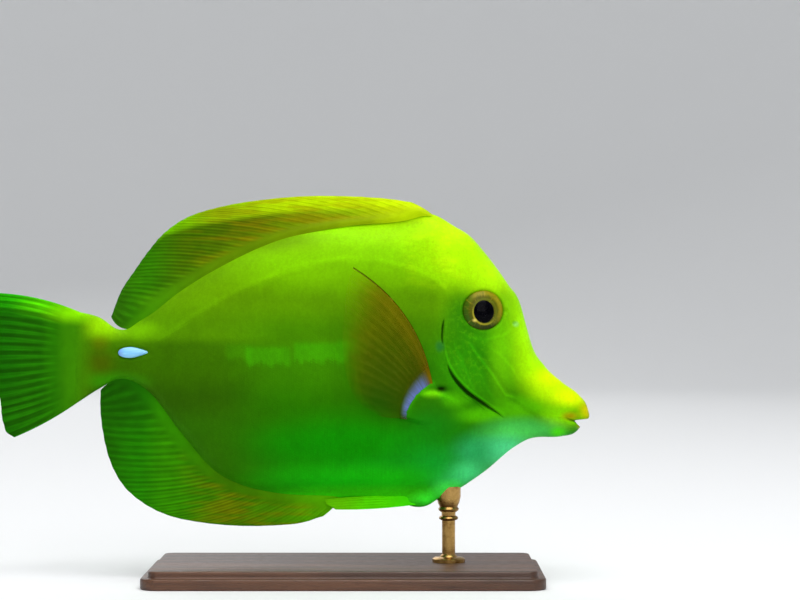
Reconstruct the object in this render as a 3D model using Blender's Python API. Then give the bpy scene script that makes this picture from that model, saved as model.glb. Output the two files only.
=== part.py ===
"""A yellow tang, modelled as a life-size still fish on a plain display stand.

The fish swims towards +X with its right side at -Y, and +Z is up. The origin is the centre of the underside
of the stand's base. Lengths are in millimetres until a mesh is made, where MM turns them into Blender's
metres. The body is lofted whole from its back, belly and width lines, then parted with thin cuts at the gill
opening and the tail stalk.
"""

import math

import bmesh
import bpy
from mathutils import Matrix, Vector

MM = 0.001
GAP = 0.3
LEAST_EDGE = 0.01
# Faces that meet at less than this angle are shaded as one round surface.
ROUND_BELOW = math.radians(35.0)
# Segments and rings of the balls that the rounded pieces start from.
EYE_BALL, LIP_BALL, BLADE_BALL, SMALL_BALL, PIT_BALL = (18, 10), (12, 6), (12, 6), (10, 6), (6, 4)

# The body seen from the side without its fins, as x along the fish and height above the floor.
BACK = (
    (-74.8, 74.6), (-68.6, 73.0), (-63.4, 70.0), (-61.3, 70.1), (-57.4, 72.6), (-46.2, 81.6), (-32.2, 90.0),
    (-18.2, 96.2), (-1.4, 99.8), (15.4, 101.7), (21.0, 103.1), (24.8, 102.7), (30.5, 99.3), (35.6, 95.7),
    (38.9, 91.9), (45.6, 82.8), (49.0, 77.4), (50.9, 70.5), (52.4, 65.4), (55.7, 60.1), (60.8, 55.3),
    (65.8, 51.4), (67.5, 49.2), (68.3, 47.0),
)
BELLY = (
    (-74.8, 49.6), (-68.7, 53.5), (-63.3, 56.2), (-58.0, 54.8), (-54.6, 52.0), (-46.2, 41.0), (-36.4, 29.8),
    (-29.4, 25.9), (-21.0, 23.7), (-4.2, 22.3), (15.4, 20.9), (21.0, 20.9), (28.8, 23.7), (38.9, 30.1),
    (47.3, 37.1), (50.7, 39.1), (60.8, 40.2), (64.1, 41.0), (66.0, 42.6), (68.3, 46.2),
)
# Half the body's thickness, and the height at which each section is thickest.
HALF_WIDTH = (
    (-74.8, 1.5), (-68.6, 2.2), (-62.7, 2.8), (-54.6, 3.7), (-46.2, 5.0), (-35.0, 6.8), (-23.8, 8.2),
    (-12.6, 9.4), (-1.4, 10.2), (9.8, 10.6), (20.0, 10.5), (27.0, 10.1), (38.5, 8.6), (49.0, 6.1),
    (60.2, 4.0), (64.0, 3.4), (66.5, 2.6), (67.8, 1.6), (68.3, 0.7),
)
WIDEST_AT = (
    (-74.8, 62.3), (-40.0, 63.5), (-12.6, 64.0), (9.8, 65.0), (25.0, 68.0), (38.5, 70.5), (44.0, 66.0),
    (50.0, 57.0), (55.0, 50.5), (60.0, 47.8), (68.3, 46.6),
)
# The thin fleshy keels that carry the dorsal and the anal fin: how far each stands off the flanks, and
# half its thickness.
BACK_KEEL = ((-74.8, 0.2), (-62.7, 0.3), (-54.6, 1.0), (-12.6, 1.8), (12.0, 3.2), (20.0, 3.4), (31.0, 0.6),
             (68.3, 0.05))
BACK_KEEL_HALF = ((-74.8, 0.9), (-50.0, 0.9), (20.0, 1.2), (45.0, 0.9), (64.0, 0.7), (68.3, 0.2))
BELLY_KEEL = ((-74.8, 0.2), (-62.7, 0.3), (-50.4, 0.9), (-12.6, 1.6), (10.0, 2.4), (19.0, 2.4), (25.0, 0.5),
              (68.3, 0.05))
BELLY_KEEL_HALF = ((-74.8, 0.9), (-50.0, 0.9), (10.0, 1.2), (20.0, 1.7), (30.0, 1.2), (64.0, 0.7),
                   (68.3, 0.2))
KEEL_LEAST = 0.1
# How lean the flank is above and below its widest height: 1 is an ellipse and less is fuller.
LEAN_ABOVE = ((-74.8, 1.0), (-12.6, 1.15), (20.0, 1.1), (34.0, 1.0), (50.0, 0.98), (68.3, 0.85))
LEAN_BELOW = ((-74.8, 1.0), (20.0, 1.0), (34.0, 1.2), (50.0, 1.15), (60.0, 0.9), (68.3, 0.85))
TAIL_END, SNOUT_TIP = -74.8, 68.3
# Where the body's sections are taken: stretches of a first place, a step and a count, close together where
# the outline turns fast, and then the single places near the snout's tip.
STRETCHES = ((TAIL_END, 3.4, 8), (-47.0, 5.0, 14), (22.0, 3.0, 8), (45.4, 1.4, 12))
NEAR_TIP = (62.4, 64.0, 65.4, 66.6, 67.5, 68.0)
FLANK_STEPS = 5

# Where the body is parted: along the gill opening, and ahead of the tail stalk.
GILL_LINE = (
    (30.4, 104.0), (30.0, 98.4), (28.6, 86.7), (27.4, 72.1), (27.2, 64.3), (28.9, 58.7), (32.2, 54.5),
    (37.2, 50.3), (41.0, 46.9), (41.4, 39.1), (40.0, 26.0),
)
GILL_TOP, GILL_FOOT = 3, 8
STALK_X = -53.0
# A block that takes one part out of the whole body reaches from tail to nose, from low to high and this
# far sideways.
REAR, NOSE, LOW, HIGH, SIDEWAYS = -90.0, 80.0, 10.0, 110.0, 20.0

# The gill cover's front edge, from the top down, how far its inner face lies from the fish's middle plane,
# and how far it stands off the skin.
COVER_FRONT = ((30.5, 71.0), (33.4, 66.5), (36.4, 60.9), (40.0, 56.4), (44.2, 52.5), (45.5, 50.6),
               (42.5, 47.2))
COVER_INNER_Y = 4.8
COVER_PROUD = 0.4

# The mouth: side outlines of the upper lip, the lower jaw and the room both take out of the head.
UPPER_LIP = ((61.8, 60.0), (75.0, 60.0), (75.0, 45.5), (67.4, 45.1), (64.6, 44.9), (61.8, 45.4))
LOWER_JAW = ((57.6, 36.0), (64.4, 36.0), (64.4, 44.1), (61.5, 44.8), (60.2, 44.6), (57.6, 42.4))
MOUTH_ROOM = ((61.5, 60.0), (75.0, 60.0), (75.0, 36.0), (57.3, 36.0), (57.3, 42.6), (60.1, 45.1),
              (61.5, 45.2))
UPPER_ROLL = ((64.9, 0.0, 46.5), (3.4, 3.9, 1.5))
LOWER_ROLL = ((63.4, 0.0, 43.0), (2.2, 3.4, 1.2))

# The eye in the side view, the radius and half the thickness of its flattened ball, how deep the ball's
# middle lies under the skin, and the rim round it.
EYE_AT = (38.5, 75.5)
EYE_RADIUS, EYE_HALF, EYE_SUNK = 6.0, 3.2, 1.8
RIM_RADIUS, RIM_THICK = 6.0, 0.65
RIM_SIDES, RIM_ROLL_SIDES = 18, 5
NOSTRILS = (((47.0, 73.0), (0.5, 0.5)), ((45.8, 76.0), (0.35, 0.8)))
NOSTRIL_DEPTH = 0.9

# The blade on each side of the tail stalk, and how deep it lies in its groove.
TAIL_SPINE_AT = (-59.4, 63.4)
TAIL_SPINE_RADII = (4.6, 1.1, 1.6)

# Fins. Each row is one ray: how far along the fin from 0 to 1, x at its base, then x and height at its
# tip. A wave is how far the fin's edge swings sideways, how many half waves it holds and where the first
# one starts.
DORSAL_RAYS, DORSAL_BOW = 29, -0.03
DORSAL_WAVE = (0.9, 3.0, 0.2)
DORSAL = (
    (0.0, 24.0, 18.4, 105.7), (0.06, 21.8, 11.2, 106.7), (0.2, 13.0, -11.2, 107.4),
    (0.3, 5.0, -25.2, 106.1), (0.4, -3.6, -35.6, 104.2), (0.5, -12.0, -44.0, 101.5),
    (0.6, -21.6, -50.4, 97.3), (0.7, -31.0, -54.9, 92.3), (0.8, -39.5, -59.1, 86.4),
    (0.9, -49.6, -62.7, 80.8), (1.0, -60.4, -65.4, 73.6),
)
ANAL_RAYS, ANAL_BOW = 23, 0.04
ANAL_WAVE = (0.7, 2.0, 0.5)
ANAL = (
    (0.0, -1.4, -6.4, 17.7), (0.07, -4.2, -12.6, 15.8), (0.15, -7.6, -21.0, 15.1),
    (0.35, -19.6, -40.6, 16.1), (0.45, -26.6, -49.0, 17.9), (0.55, -33.0, -56.0, 21.2),
    (0.65, -39.2, -61.9, 26.2), (0.75, -45.4, -65.8, 33.2), (0.85, -51.8, -67.9, 41.6),
    (0.93, -57.1, -68.6, 48.0), (1.0, -62.0, -68.4, 52.4),
)
# The tail fin's rows give the height at the base, then x and height at the tip, and how far the ray bows up.
CAUDAL_RAYS = 18
CAUDAL_WAVE = (0.8, 2.0, 0.4)
CAUDAL_ROOT_SHARE = 0.85
CAUDAL = (
    (0.0, 50.1, -93.0, 39.9, 0.07), (0.1, 52.4, -95.4, 43.6, 0.04), (0.25, 55.9, -96.5, 49.6, 0.02),
    (0.5, 61.8, -98.3, 60.9, 0.0), (0.75, 67.9, -99.2, 71.0, -0.03), (0.9, 71.8, -99.6, 76.6, -0.07),
    (1.0, 74.3, -99.4, 79.1, -0.11),
)
# The pectoral fin's rows give x and height at the base and at the tip.
PECTORAL_RAYS = 15
PECTORAL = (
    (0.0, 24.2, 56.0, 2.8, 87.2), (0.15, 23.0, 55.3, 0.9, 81.5), (0.3, 21.6, 54.3, 0.3, 75.6),
    (0.5, 19.6, 52.4, -0.2, 67.5), (0.7, 17.9, 50.0, 0.6, 58.5), (0.85, 16.9, 47.8, 3.4, 51.0),
    (1.0, 16.2, 45.6, 9.5, 46.3),
)
PECTORAL_BOW = -0.11
PECTORAL_ROOT_HALF, PECTORAL_OFF = 0.7, 1.1
PECTORAL_SPREAD, PECTORAL_CUP = 0.48, 0.003
LOBE_FRONT = ((17.4, 44.2), (20.4, 44.2), (23.4, 45.9), (25.5, 49.2), (26.2, 53.0), (25.4, 56.2))
LOBE_PROUD, LOBE_INNER_Y = 1.9, 5.0
# The pelvic fins lie folded back along the belly.
PELVIC_RAYS, PELVIC_BOW, PELVIC_ROOT_HALF = 6, 0.02, 0.5
PELVIC = ((0.0, 18.9, 21.1, -2.6, 19.8), (0.5, 18.9, 22.3, -5.0, 21.2), (1.0, 18.9, 23.5, -5.6, 22.6))
PELVIC_ROOT_Y, PELVIC_TIP_Y = 2.7, 2.1
PELVIC_PAD = ((21.9, 22.5), (4.4, 1.3, 1.7))
PELVIC_PAD_END = 19.2
# Half the thickness of a fin's membrane and of its edge, of a ray's crest near its root and at its tip,
# and the share of the space between two rays that one side of a ridge takes.
MEMBRANE_HALF, TIP_HALF = 0.27, 0.2
CREST_HALF, CREST_TIP_HALF = 0.55, 0.3
RIDGE_SHARE = 0.22
LONG_ROWS = (0.0, 0.12, 0.4, 0.7, 1.0)
SHORT_ROWS = (0.0, 0.15, 0.55, 1.0)
# How far to either side of a place a fin's slope is measured, as a share of the fin.
SLOPE_STEP = 0.01

# The stand: a flat base, one rod, and a collar that cradles the belly.
BASE_SIZE = (110.0, 56.0, 5.0)
BASE_BEVEL = 1.2
ROD_X, ROD_RADIUS, ROD_SIDES = 29.0, 2.0, 24
COLLAR_RADIUS, COLLAR_FOOT, COLLAR_TOP = 3.4, 19.0, 26.5

LIME, GREEN = (0.56, 0.98, 0.01), (0.11, 0.4, 0.01)
EYE_GOLD, BLADE_WHITE = (0.09, 0.13, 0.01), (0.55, 0.8, 0.95)
WOOD, BRASS = (0.06, 0.03, 0.02), (0.75, 0.55, 0.25)


def smooth_line(knots, column=1):
    """A function of the knots' first value that runs smoothly through the values in one of their columns."""
    xs = [k[0] for k in knots]
    ys = [k[column] for k in knots]
    slopes = [(ys[i + 1] - ys[i]) / (xs[i + 1] - xs[i]) for i in range(len(xs) - 1)]
    bends = [slopes[0]]
    for i in range(1, len(xs) - 1):
        before, after = xs[i] - xs[i - 1], xs[i + 1] - xs[i]
        bends.append((slopes[i - 1] * after + slopes[i] * before) / (before + after))
    bends.append(slopes[-1])

    def line(x):
        x = min(max(x, xs[0]), xs[-1])
        i = max(k for k in range(len(xs) - 1) if xs[k] <= x)
        span = xs[i + 1] - xs[i]
        t = (x - xs[i]) / span
        return (
            ys[i] * (1 + 2 * t) * (1 - t) ** 2
            + bends[i] * span * t * (1 - t) ** 2
            + ys[i + 1] * t * t * (3 - 2 * t)
            + bends[i + 1] * span * t * t * (t - 1)
        )

    return line


back, belly = smooth_line(BACK), smooth_line(BELLY)
half_width, widest_at = smooth_line(HALF_WIDTH), smooth_line(WIDEST_AT)
back_keel_line, back_keel_half = smooth_line(BACK_KEEL), smooth_line(BACK_KEEL_HALF)
belly_keel_line, belly_keel_half = smooth_line(BELLY_KEEL), smooth_line(BELLY_KEEL_HALF)
lean_above, lean_below = smooth_line(LEAN_ABOVE), smooth_line(LEAN_BELOW)


def back_keel(x):
    """How far the keel on the back stands off the flanks."""
    return max(back_keel_line(x), KEEL_LEAST)


def belly_keel(x):
    """How far the keel under the belly stands off the flanks."""
    return max(belly_keel_line(x), KEEL_LEAST)


def flank(x, z, grow=0.0):
    """Half the body's thickness at a point seen from the side."""
    middle = widest_at(x)
    if z >= middle:
        edge, keel, lean = back(x) - back_keel(x), back_keel_half(x), lean_above(x)
    else:
        edge, keel, lean = belly(x) + belly_keel(x), belly_keel_half(x), lean_below(x)
    rise = min(abs(z - middle) / abs(edge - middle), 1.0)
    return keel + (half_width(x) + grow - keel) * math.sqrt(1 - rise * rise) ** lean


def section(x, grow):
    """The points (y, z) of the body's outline across x, down its right side and up its left."""
    middle = widest_at(x)
    top, bottom = back(x) - back_keel(x), belly(x) + belly_keel(x)
    right = [(-back_keel_half(x), back(x))]
    for step in range(2 * FLANK_STEPS + 1):
        turn = math.pi / 2 * (1 - step / FLANK_STEPS)
        edge = top if turn >= 0 else bottom
        z = middle + abs(edge - middle) * math.sin(turn)
        right.append((-flank(x, z, grow), z))
    right.append((-belly_keel_half(x), belly(x)))
    return right + [(-y, z) for y, z in reversed(right)]


def stations():
    """Where the body's sections are taken, from the tail's end to the snout's tip."""
    found = [first + step * i for first, step, count in STRETCHES for i in range(count)]
    return found + list(NEAR_TIP) + [SNOUT_TIP]


def mesh_object(name, points, faces, material=None):
    """A closed mesh from points in millimetres, its faces split into triangles and turned outwards."""
    mesh = bpy.data.meshes.new(name)
    mesh.from_pydata([Vector(p) * MM for p in points], [], faces)
    shape = bmesh.new()
    shape.from_mesh(mesh)
    bmesh.ops.triangulate(shape, faces=shape.faces)
    bmesh.ops.recalc_face_normals(shape, faces=shape.faces)
    shape.to_mesh(mesh)
    shape.free()
    made = bpy.data.objects.new(name, mesh)
    bpy.context.scene.collection.objects.link(made)
    if material is not None:
        mesh.materials.append(material)
    return made


def ring_loft(name, rings, material=None):
    """A closed mesh through rings of points, with flat ends."""
    around = len(rings[0])
    points = [p for ring in rings for p in ring]
    faces = []
    for i in range(len(rings) - 1):
        for j in range(around):
            k = (j + 1) % around
            faces.append((i * around + j, i * around + k, (i + 1) * around + k, (i + 1) * around + j))
    faces.append(tuple(range(around)))
    faces.append(tuple(reversed(range(len(points) - around, len(points)))))
    return mesh_object(name, points, faces, material)


def body_loft(name, grow=0.0, material=None):
    """The whole body from tail end to snout tip, its flanks moved out by grow."""
    rings = [[(x, y, z) for y, z in section(x, grow)] for x in stations()]
    return ring_loft(name, rings, material)


def side_block(name, outline, near, far):
    """A block with an outline (x, z) seen from the side, from y = near to y = far."""
    return ring_loft(name, [[(x, near, z) for x, z in outline], [(x, far, z) for x, z in outline]])


def upright_block(rear, front):
    """The outline (x, z) of a block as tall as the fish, between two places along it."""
    return [(rear, LOW), (front, LOW), (front, HIGH), (rear, HIGH)]


def ellipsoid(name, centre, radii, fineness, material=None):
    """A ball stretched along the three axes, its poles along y; fineness is its segments and rings."""
    shape = bmesh.new()
    bmesh.ops.create_uvsphere(shape, u_segments=fineness[0], v_segments=fineness[1], radius=1.0)
    for vert in shape.verts:
        x, y, z = vert.co
        vert.co = Vector((centre[0] + radii[0] * x, centre[1] + radii[1] * z, centre[2] + radii[2] * y)) * MM
    bmesh.ops.triangulate(shape, faces=shape.faces)
    bmesh.ops.recalc_face_normals(shape, faces=shape.faces)
    mesh = bpy.data.meshes.new(name)
    shape.to_mesh(mesh)
    shape.free()
    made = bpy.data.objects.new(name, mesh)
    bpy.context.scene.collection.objects.link(made)
    if material is not None:
        mesh.materials.append(material)
    return made


def cut(body, tool, operation):
    """Applies one Boolean of body with tool, removes the tool and keeps the largest closed piece."""
    modifier = body.modifiers.new("cut", "BOOLEAN")
    modifier.operation = operation
    modifier.solver = "EXACT"
    modifier.object = tool
    bpy.context.view_layer.update()
    graph = bpy.context.evaluated_depsgraph_get()
    result = bpy.data.meshes.new_from_object(body.evaluated_get(graph))
    body.modifiers.remove(modifier)
    body.data = result
    bpy.data.objects.remove(tool)
    keep_largest(body)


def keep_largest(body):
    """Drops every loose piece of a mesh but the one with the most faces."""
    shape = bmesh.new()
    shape.from_mesh(body.data)
    bmesh.ops.triangulate(shape, faces=shape.faces)
    bmesh.ops.dissolve_degenerate(shape, edges=shape.edges, dist=LEAST_EDGE * MM)
    bmesh.ops.triangulate(shape, faces=shape.faces)
    left = set(shape.faces)
    pieces = []
    while left:
        seed = left.pop()
        piece, front = {seed}, [seed]
        while front:
            for edge in front.pop().edges:
                for face in edge.link_faces:
                    if face in left:
                        left.discard(face)
                        piece.add(face)
                        front.append(face)
        pieces.append(piece)
    largest = max(pieces, key=len)
    loose = [face for piece in pieces if piece is not largest for face in piece]
    bmesh.ops.delete(shape, geom=loose, context="FACES")
    shape.to_mesh(body.data)
    shape.free()


def shifted(line, distance):
    """An open line (x, z) moved sideways, to the right of its direction where distance is positive."""
    moved = []
    for i, (x, z) in enumerate(line):
        before, after = line[max(i - 1, 0)], line[min(i + 1, len(line) - 1)]
        run = Vector((after[0] - before[0], after[1] - before[1])).normalized()
        moved.append((x + run.y * distance, z - run.x * distance))
    return moved


def paint(name, colour, roughness=0.45, metallic=0.0):
    """A plain material of one colour."""
    material = bpy.data.materials.new(name)
    material.use_nodes = True
    surface = material.node_tree.nodes["Principled BSDF"]
    surface.inputs["Base Color"].default_value = (*colour, 1.0)
    surface.inputs["Roughness"].default_value = roughness
    surface.inputs["Metallic"].default_value = metallic
    return material


def make_trunk():
    """The trunk behind the gill opening, with the fleshy roots of the pectoral and pelvic fins."""
    trunk = body_loft("trunk", material=paint("trunk_skin", GREEN))
    gill = shifted(GILL_LINE, GAP / 2)
    edge = STALK_X + GAP / 2
    region = side_block("region", [(edge, HIGH)] + gill + [(edge, LOW)], -SIDEWAYS, SIDEWAYS)
    cut(trunk, region, "INTERSECT")
    base = [(x, z) for _, x, z, _, _ in PECTORAL]
    wall = shifted(base, -GAP)
    (x, z), radii = PELVIC_PAD
    behind_pad = upright_block(REAR, PELVIC_PAD_END)
    for side in (-1, 1):
        lobe = body_loft("lobe", grow=LOBE_PROUD)
        outline = wall + list(LOBE_FRONT)
        cut(lobe, side_block("region", outline, side * LOBE_INNER_Y, side * SIDEWAYS), "INTERSECT")
        cut(trunk, lobe, "UNION")
        pad = ellipsoid("pad", (x, side * PELVIC_ROOT_Y, z), radii, SMALL_BALL)
        cut(pad, side_block("end", behind_pad, -SIDEWAYS, SIDEWAYS), "DIFFERENCE")
        cut(trunk, pad, "UNION")


def make_tail_stalk():
    """The narrow stalk of the tail, with a groove on each side for its blade."""
    stalk = body_loft("tail_stalk", material=paint("stalk_skin", GREEN))
    region = side_block("region", upright_block(REAR, STALK_X - GAP / 2), -SIDEWAYS, SIDEWAYS)
    cut(stalk, region, "INTERSECT")
    for side in (-1, 1):
        cut(stalk, tail_blade("groove", side, GAP), "DIFFERENCE")


def tail_blade(name, side, grow=0.0, material=None):
    """One tail spine: a flat blade that lies lengthwise, half of it in the skin."""
    x, z = TAIL_SPINE_AT
    radii = [radius + grow for radius in TAIL_SPINE_RADII]
    return ellipsoid(name, (x, side * flank(x, z), z), radii, BLADE_BALL, material)


def make_head():
    """The head ahead of the gill opening, cut for the mouth, the gill covers, the eyes and the nostrils."""
    head = body_loft("head", material=paint("head_skin", LIME))
    gill = shifted(GILL_LINE, -GAP / 2)
    cut(head, side_block("region", gill + [(NOSE, LOW), (NOSE, HIGH)], -SIDEWAYS, SIDEWAYS), "INTERSECT")
    cut(head, side_block("mouth", MOUTH_ROOM, -SIDEWAYS, SIDEWAYS), "DIFFERENCE")
    front = shifted(COVER_FRONT, -GAP)
    (x, top), (foot_x, foot) = GILL_LINE[GILL_TOP], GILL_LINE[GILL_FOOT]
    room = [(REAR, top + GAP), (x, top + GAP)] + front + [(foot_x, foot - GAP), (REAR, foot - GAP)]
    for side in (-1, 1):
        cut(head, make_rim("rim", side), "UNION")
        cut(head, side_block("room", room, side * COVER_INNER_Y, side * SIDEWAYS), "DIFFERENCE")
        cut(head, eye_ball("socket", side, GAP), "DIFFERENCE")
        for (x, z), (across, tall) in NOSTRILS:
            pit = ellipsoid("pit", (x, side * flank(x, z), z), (across, NOSTRIL_DEPTH, tall), PIT_BALL)
            cut(head, pit, "DIFFERENCE")


def eye_ball(name, side, grow=0.0, material=None):
    """One flattened eyeball, its axis square to the skin round it."""
    x, z = EYE_AT
    slope_x = flank(x + 1.0, z) - flank(x - 1.0, z)
    slope_z = flank(x, z + 1.0) - flank(x, z - 1.0)
    axis = Vector((-slope_x / 2, side, -slope_z / 2)).normalized()
    along = (Vector((1.0, 0.0, 0.0)) - axis * axis.x).normalized()
    up = along.cross(axis)
    middle = Vector((x, side * flank(x, z), z)) - axis * EYE_SUNK
    radii = (EYE_RADIUS + grow, EYE_HALF + grow, EYE_RADIUS + grow)
    ball = ellipsoid(name, (0.0, 0.0, 0.0), radii, EYE_BALL, material)
    for vert in ball.data.vertices:
        out = vert.co.copy()
        vert.co = middle * MM + along * out.x + axis * out.y + up * out.z
    return ball


def make_rim(name, side):
    """A raised fold of skin round one eye, which follows the flank."""
    points = []
    for i in range(RIM_SIDES):
        turn = 2 * math.pi * i / RIM_SIDES
        x, z = EYE_AT[0] + RIM_RADIUS * math.cos(turn), EYE_AT[1] + RIM_RADIUS * math.sin(turn)
        for j in range(RIM_ROLL_SIDES):
            roll = 2 * math.pi * j / RIM_ROLL_SIDES
            out = RIM_THICK * math.cos(roll)
            y = side * (flank(x, z) + RIM_THICK * math.sin(roll))
            points.append((x + out * math.cos(turn), y, z + out * math.sin(turn)))
    faces = []
    for i in range(RIM_SIDES):
        for j in range(RIM_ROLL_SIDES):
            here, there = i * RIM_ROLL_SIDES, (i + 1) % RIM_SIDES * RIM_ROLL_SIDES
            k = (j + 1) % RIM_ROLL_SIDES
            faces.append((here + j, here + k, there + k, there + j))
    return mesh_object(name, points, faces)


def make_gill_cover(name, side):
    """One gill cover: a plate from the cheek's ridge back to the gill opening."""
    cover = body_loft(name, grow=COVER_PROUD, material=paint(name + "_skin", GREEN))
    rear = shifted(GILL_LINE, -GAP / 2)[GILL_TOP:GILL_FOOT + 1]
    outline = rear + list(reversed(COVER_FRONT))
    cut(cover, side_block("region", outline, side * (COVER_INNER_Y + GAP), side * SIDEWAYS), "INTERSECT")


def make_upper_lip():
    """The front of the snout with the roll of the upper lip."""
    lip = body_loft("upper_lip", material=paint("upper_lip_skin", LIME))
    cut(lip, ellipsoid("roll", *UPPER_ROLL, LIP_BALL), "UNION")
    cut(lip, side_block("region", UPPER_LIP, -SIDEWAYS, SIDEWAYS), "INTERSECT")


def make_lower_jaw():
    """The chin with the roll of the lower lip."""
    jaw = body_loft("lower_jaw", material=paint("lower_jaw_skin", LIME))
    cut(jaw, side_block("region", LOWER_JAW, -SIDEWAYS, SIDEWAYS), "INTERSECT")
    cut(jaw, ellipsoid("roll", *LOWER_ROLL, LIP_BALL), "UNION")


def ray_columns(count):
    """The columns of a fin with so many rays: each ray's crest, and the membrane on either side of it."""
    columns = []
    for i in range(count):
        for step, crest in ((-RIDGE_SHARE, False), (0.0, True), (RIDGE_SHARE, False)):
            s = (i + step) / (count - 1)
            if 0.0 <= s <= 1.0:
                columns.append((s, crest))
    return columns


def fin_half(t, crest, root_half):
    """Half a fin's thickness, from its root at t = 0 to its edge at t = 1."""
    if t == 0.0:
        return root_half
    if crest:
        return CREST_HALF + (CREST_TIP_HALF - CREST_HALF) * t
    return MEMBRANE_HALF if t < 1.0 else TIP_HALF


def fin_sheet(name, place, rays, along, root_half, material):
    """A thin solid fin: place(s, t) is its middle, with s across the rays and t from root to edge."""
    right, left = [], []
    for s, crest in ray_columns(rays):
        for t in along:
            across = place(min(s + SLOPE_STEP, 1.0), t) - place(max(s - SLOPE_STEP, 0.0), t)
            out = place(s, min(t + SLOPE_STEP, 1.0)) - place(s, max(t - SLOPE_STEP, 0.0))
            normal = across.cross(out).normalized()
            if normal.y > 0:
                normal = -normal
            if t == 0.0:
                normal = Vector((0.0, -1.0, 0.0))
            half = fin_half(t, crest, root_half(s))
            right.append(place(s, t) + normal * half)
            left.append(place(s, t) - normal * half)
    high, rows = len(along), len(along) - 1
    other = len(right)
    last = other - high
    faces = []
    for a in range(0, last, high):
        for j in range(a, a + rows):
            b = j + high
            faces += [(j, b, b + 1), (j, b + 1, j + 1)]
            faces += [(j + other, b + 1 + other, b + other), (j + other, j + 1 + other, b + 1 + other)]
    for j in range(rows):
        faces.append((j, j + 1, j + 1 + other, j + other))
        faces.append((last + j + 1, last + j, last + j + other, last + j + 1 + other))
    for a in range(0, last, high):
        b = a + high
        faces.append((b, a, a + other, b + other))
        faces.append((a + rows, b + rows, b + rows + other, a + rows + other))
    return mesh_object(name, right + left, faces, material)


def bowed(base, tip, bow, t):
    """A point on a ray in the side view; bow is how far it bends to its left, as a share of its length."""
    run = tip - base
    return base + run * t + Vector((-run.y, run.x)) * bow * 4 * t * (1 - t)


def waved(wave, s, t):
    """How far a fin leans sideways at a place on it."""
    swing, halves, start = wave
    return swing * t * t * math.sin(math.pi * (halves * s + start))


def make_dorsal_fin():
    """The long fin along the back, folded most of the way down, with a slight sideways wave."""
    base_x, tip_x, tip_z = (smooth_line(DORSAL, column) for column in (1, 2, 3))

    def place(s, t):
        x = base_x(s)
        slope = back(x + 0.5) - back(x - 0.5)
        root = Vector((x, back(x))) + Vector((-slope, 1.0)).normalized() * GAP
        x, z = bowed(root, Vector((tip_x(s), tip_z(s))), DORSAL_BOW, t)
        return Vector((x, waved(DORSAL_WAVE, s, t), z))

    def root_half(s):
        return back_keel_half(base_x(s))

    skin = paint("dorsal_fin_skin", GREEN)
    return fin_sheet("dorsal_fin", place, DORSAL_RAYS, LONG_ROWS, root_half, skin)


def make_anal_fin():
    """The long fin under the tail half of the belly, spread further than the dorsal fin."""
    base_x, tip_x, tip_z = (smooth_line(ANAL, column) for column in (1, 2, 3))

    def place(s, t):
        x = base_x(s)
        slope = belly(x + 0.5) - belly(x - 0.5)
        root = Vector((x, belly(x))) - Vector((-slope, 1.0)).normalized() * GAP
        x, z = bowed(root, Vector((tip_x(s), tip_z(s))), ANAL_BOW, t)
        return Vector((x, waved(ANAL_WAVE, s, t), z))

    def root_half(s):
        return belly_keel_half(base_x(s))

    return fin_sheet("anal_fin", place, ANAL_RAYS, LONG_ROWS, root_half, paint("anal_fin_skin", GREEN))


def make_caudal_fin():
    """The tail fin, nearly straight along its rear edge."""
    base_z, tip_x, tip_z, bow = (smooth_line(CAUDAL, column) for column in (1, 2, 3, 4))

    def place(s, t):
        x, z = bowed(Vector((TAIL_END - GAP, base_z(s))), Vector((tip_x(s), tip_z(s))), bow(s), t)
        return Vector((x, waved(CAUDAL_WAVE, s, t), z))

    def root_half(s):
        return flank(TAIL_END, base_z(s)) * CAUDAL_ROOT_SHARE

    return fin_sheet("caudal_fin", place, CAUDAL_RAYS, LONG_ROWS, root_half, paint("caudal_fin_skin", GREEN))


def make_pectoral_fin(name, side):
    """One pectoral fin, raised and spread off the flank."""
    base_x, base_z, tip_x, tip_z = (smooth_line(PECTORAL, column) for column in (1, 2, 3, 4))
    first, last = Vector((base_x(0), base_z(0))), Vector((base_x(1), base_z(1)))
    axis = (last - first).normalized()

    def place(s, t):
        root = Vector((base_x(s), base_z(s)))
        x, z = bowed(root, Vector((tip_x(s), tip_z(s))), PECTORAL_BOW * (1 - s), t)
        reach = abs((Vector((x, z)) - root).cross(axis))
        out = flank(root.x, root.y) + PECTORAL_OFF + PECTORAL_SPREAD * reach - PECTORAL_CUP * reach * reach
        return Vector((x, side * out, z))

    def root_half(s):
        return PECTORAL_ROOT_HALF

    return fin_sheet(name, place, PECTORAL_RAYS, LONG_ROWS, root_half, paint(name + "_skin", GREEN))


def make_pelvic_fin(name, side):
    """One pelvic fin, folded back against the belly."""
    base_x, base_z, tip_x, tip_z = (smooth_line(PELVIC, column) for column in (1, 2, 3, 4))

    def place(s, t):
        root, tip = Vector((base_x(s), base_z(s))), Vector((tip_x(s), tip_z(s)))
        x, z = bowed(root, tip, PELVIC_BOW * (1 - 2 * s), t)
        return Vector((x, side * (PELVIC_TIP_Y + (PELVIC_ROOT_Y - PELVIC_TIP_Y) * (1 - t) ** 3), z))

    def root_half(s):
        return PELVIC_ROOT_HALF

    return fin_sheet(name, place, PELVIC_RAYS, SHORT_ROWS, root_half, paint(name + "_skin", LIME))


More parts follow.
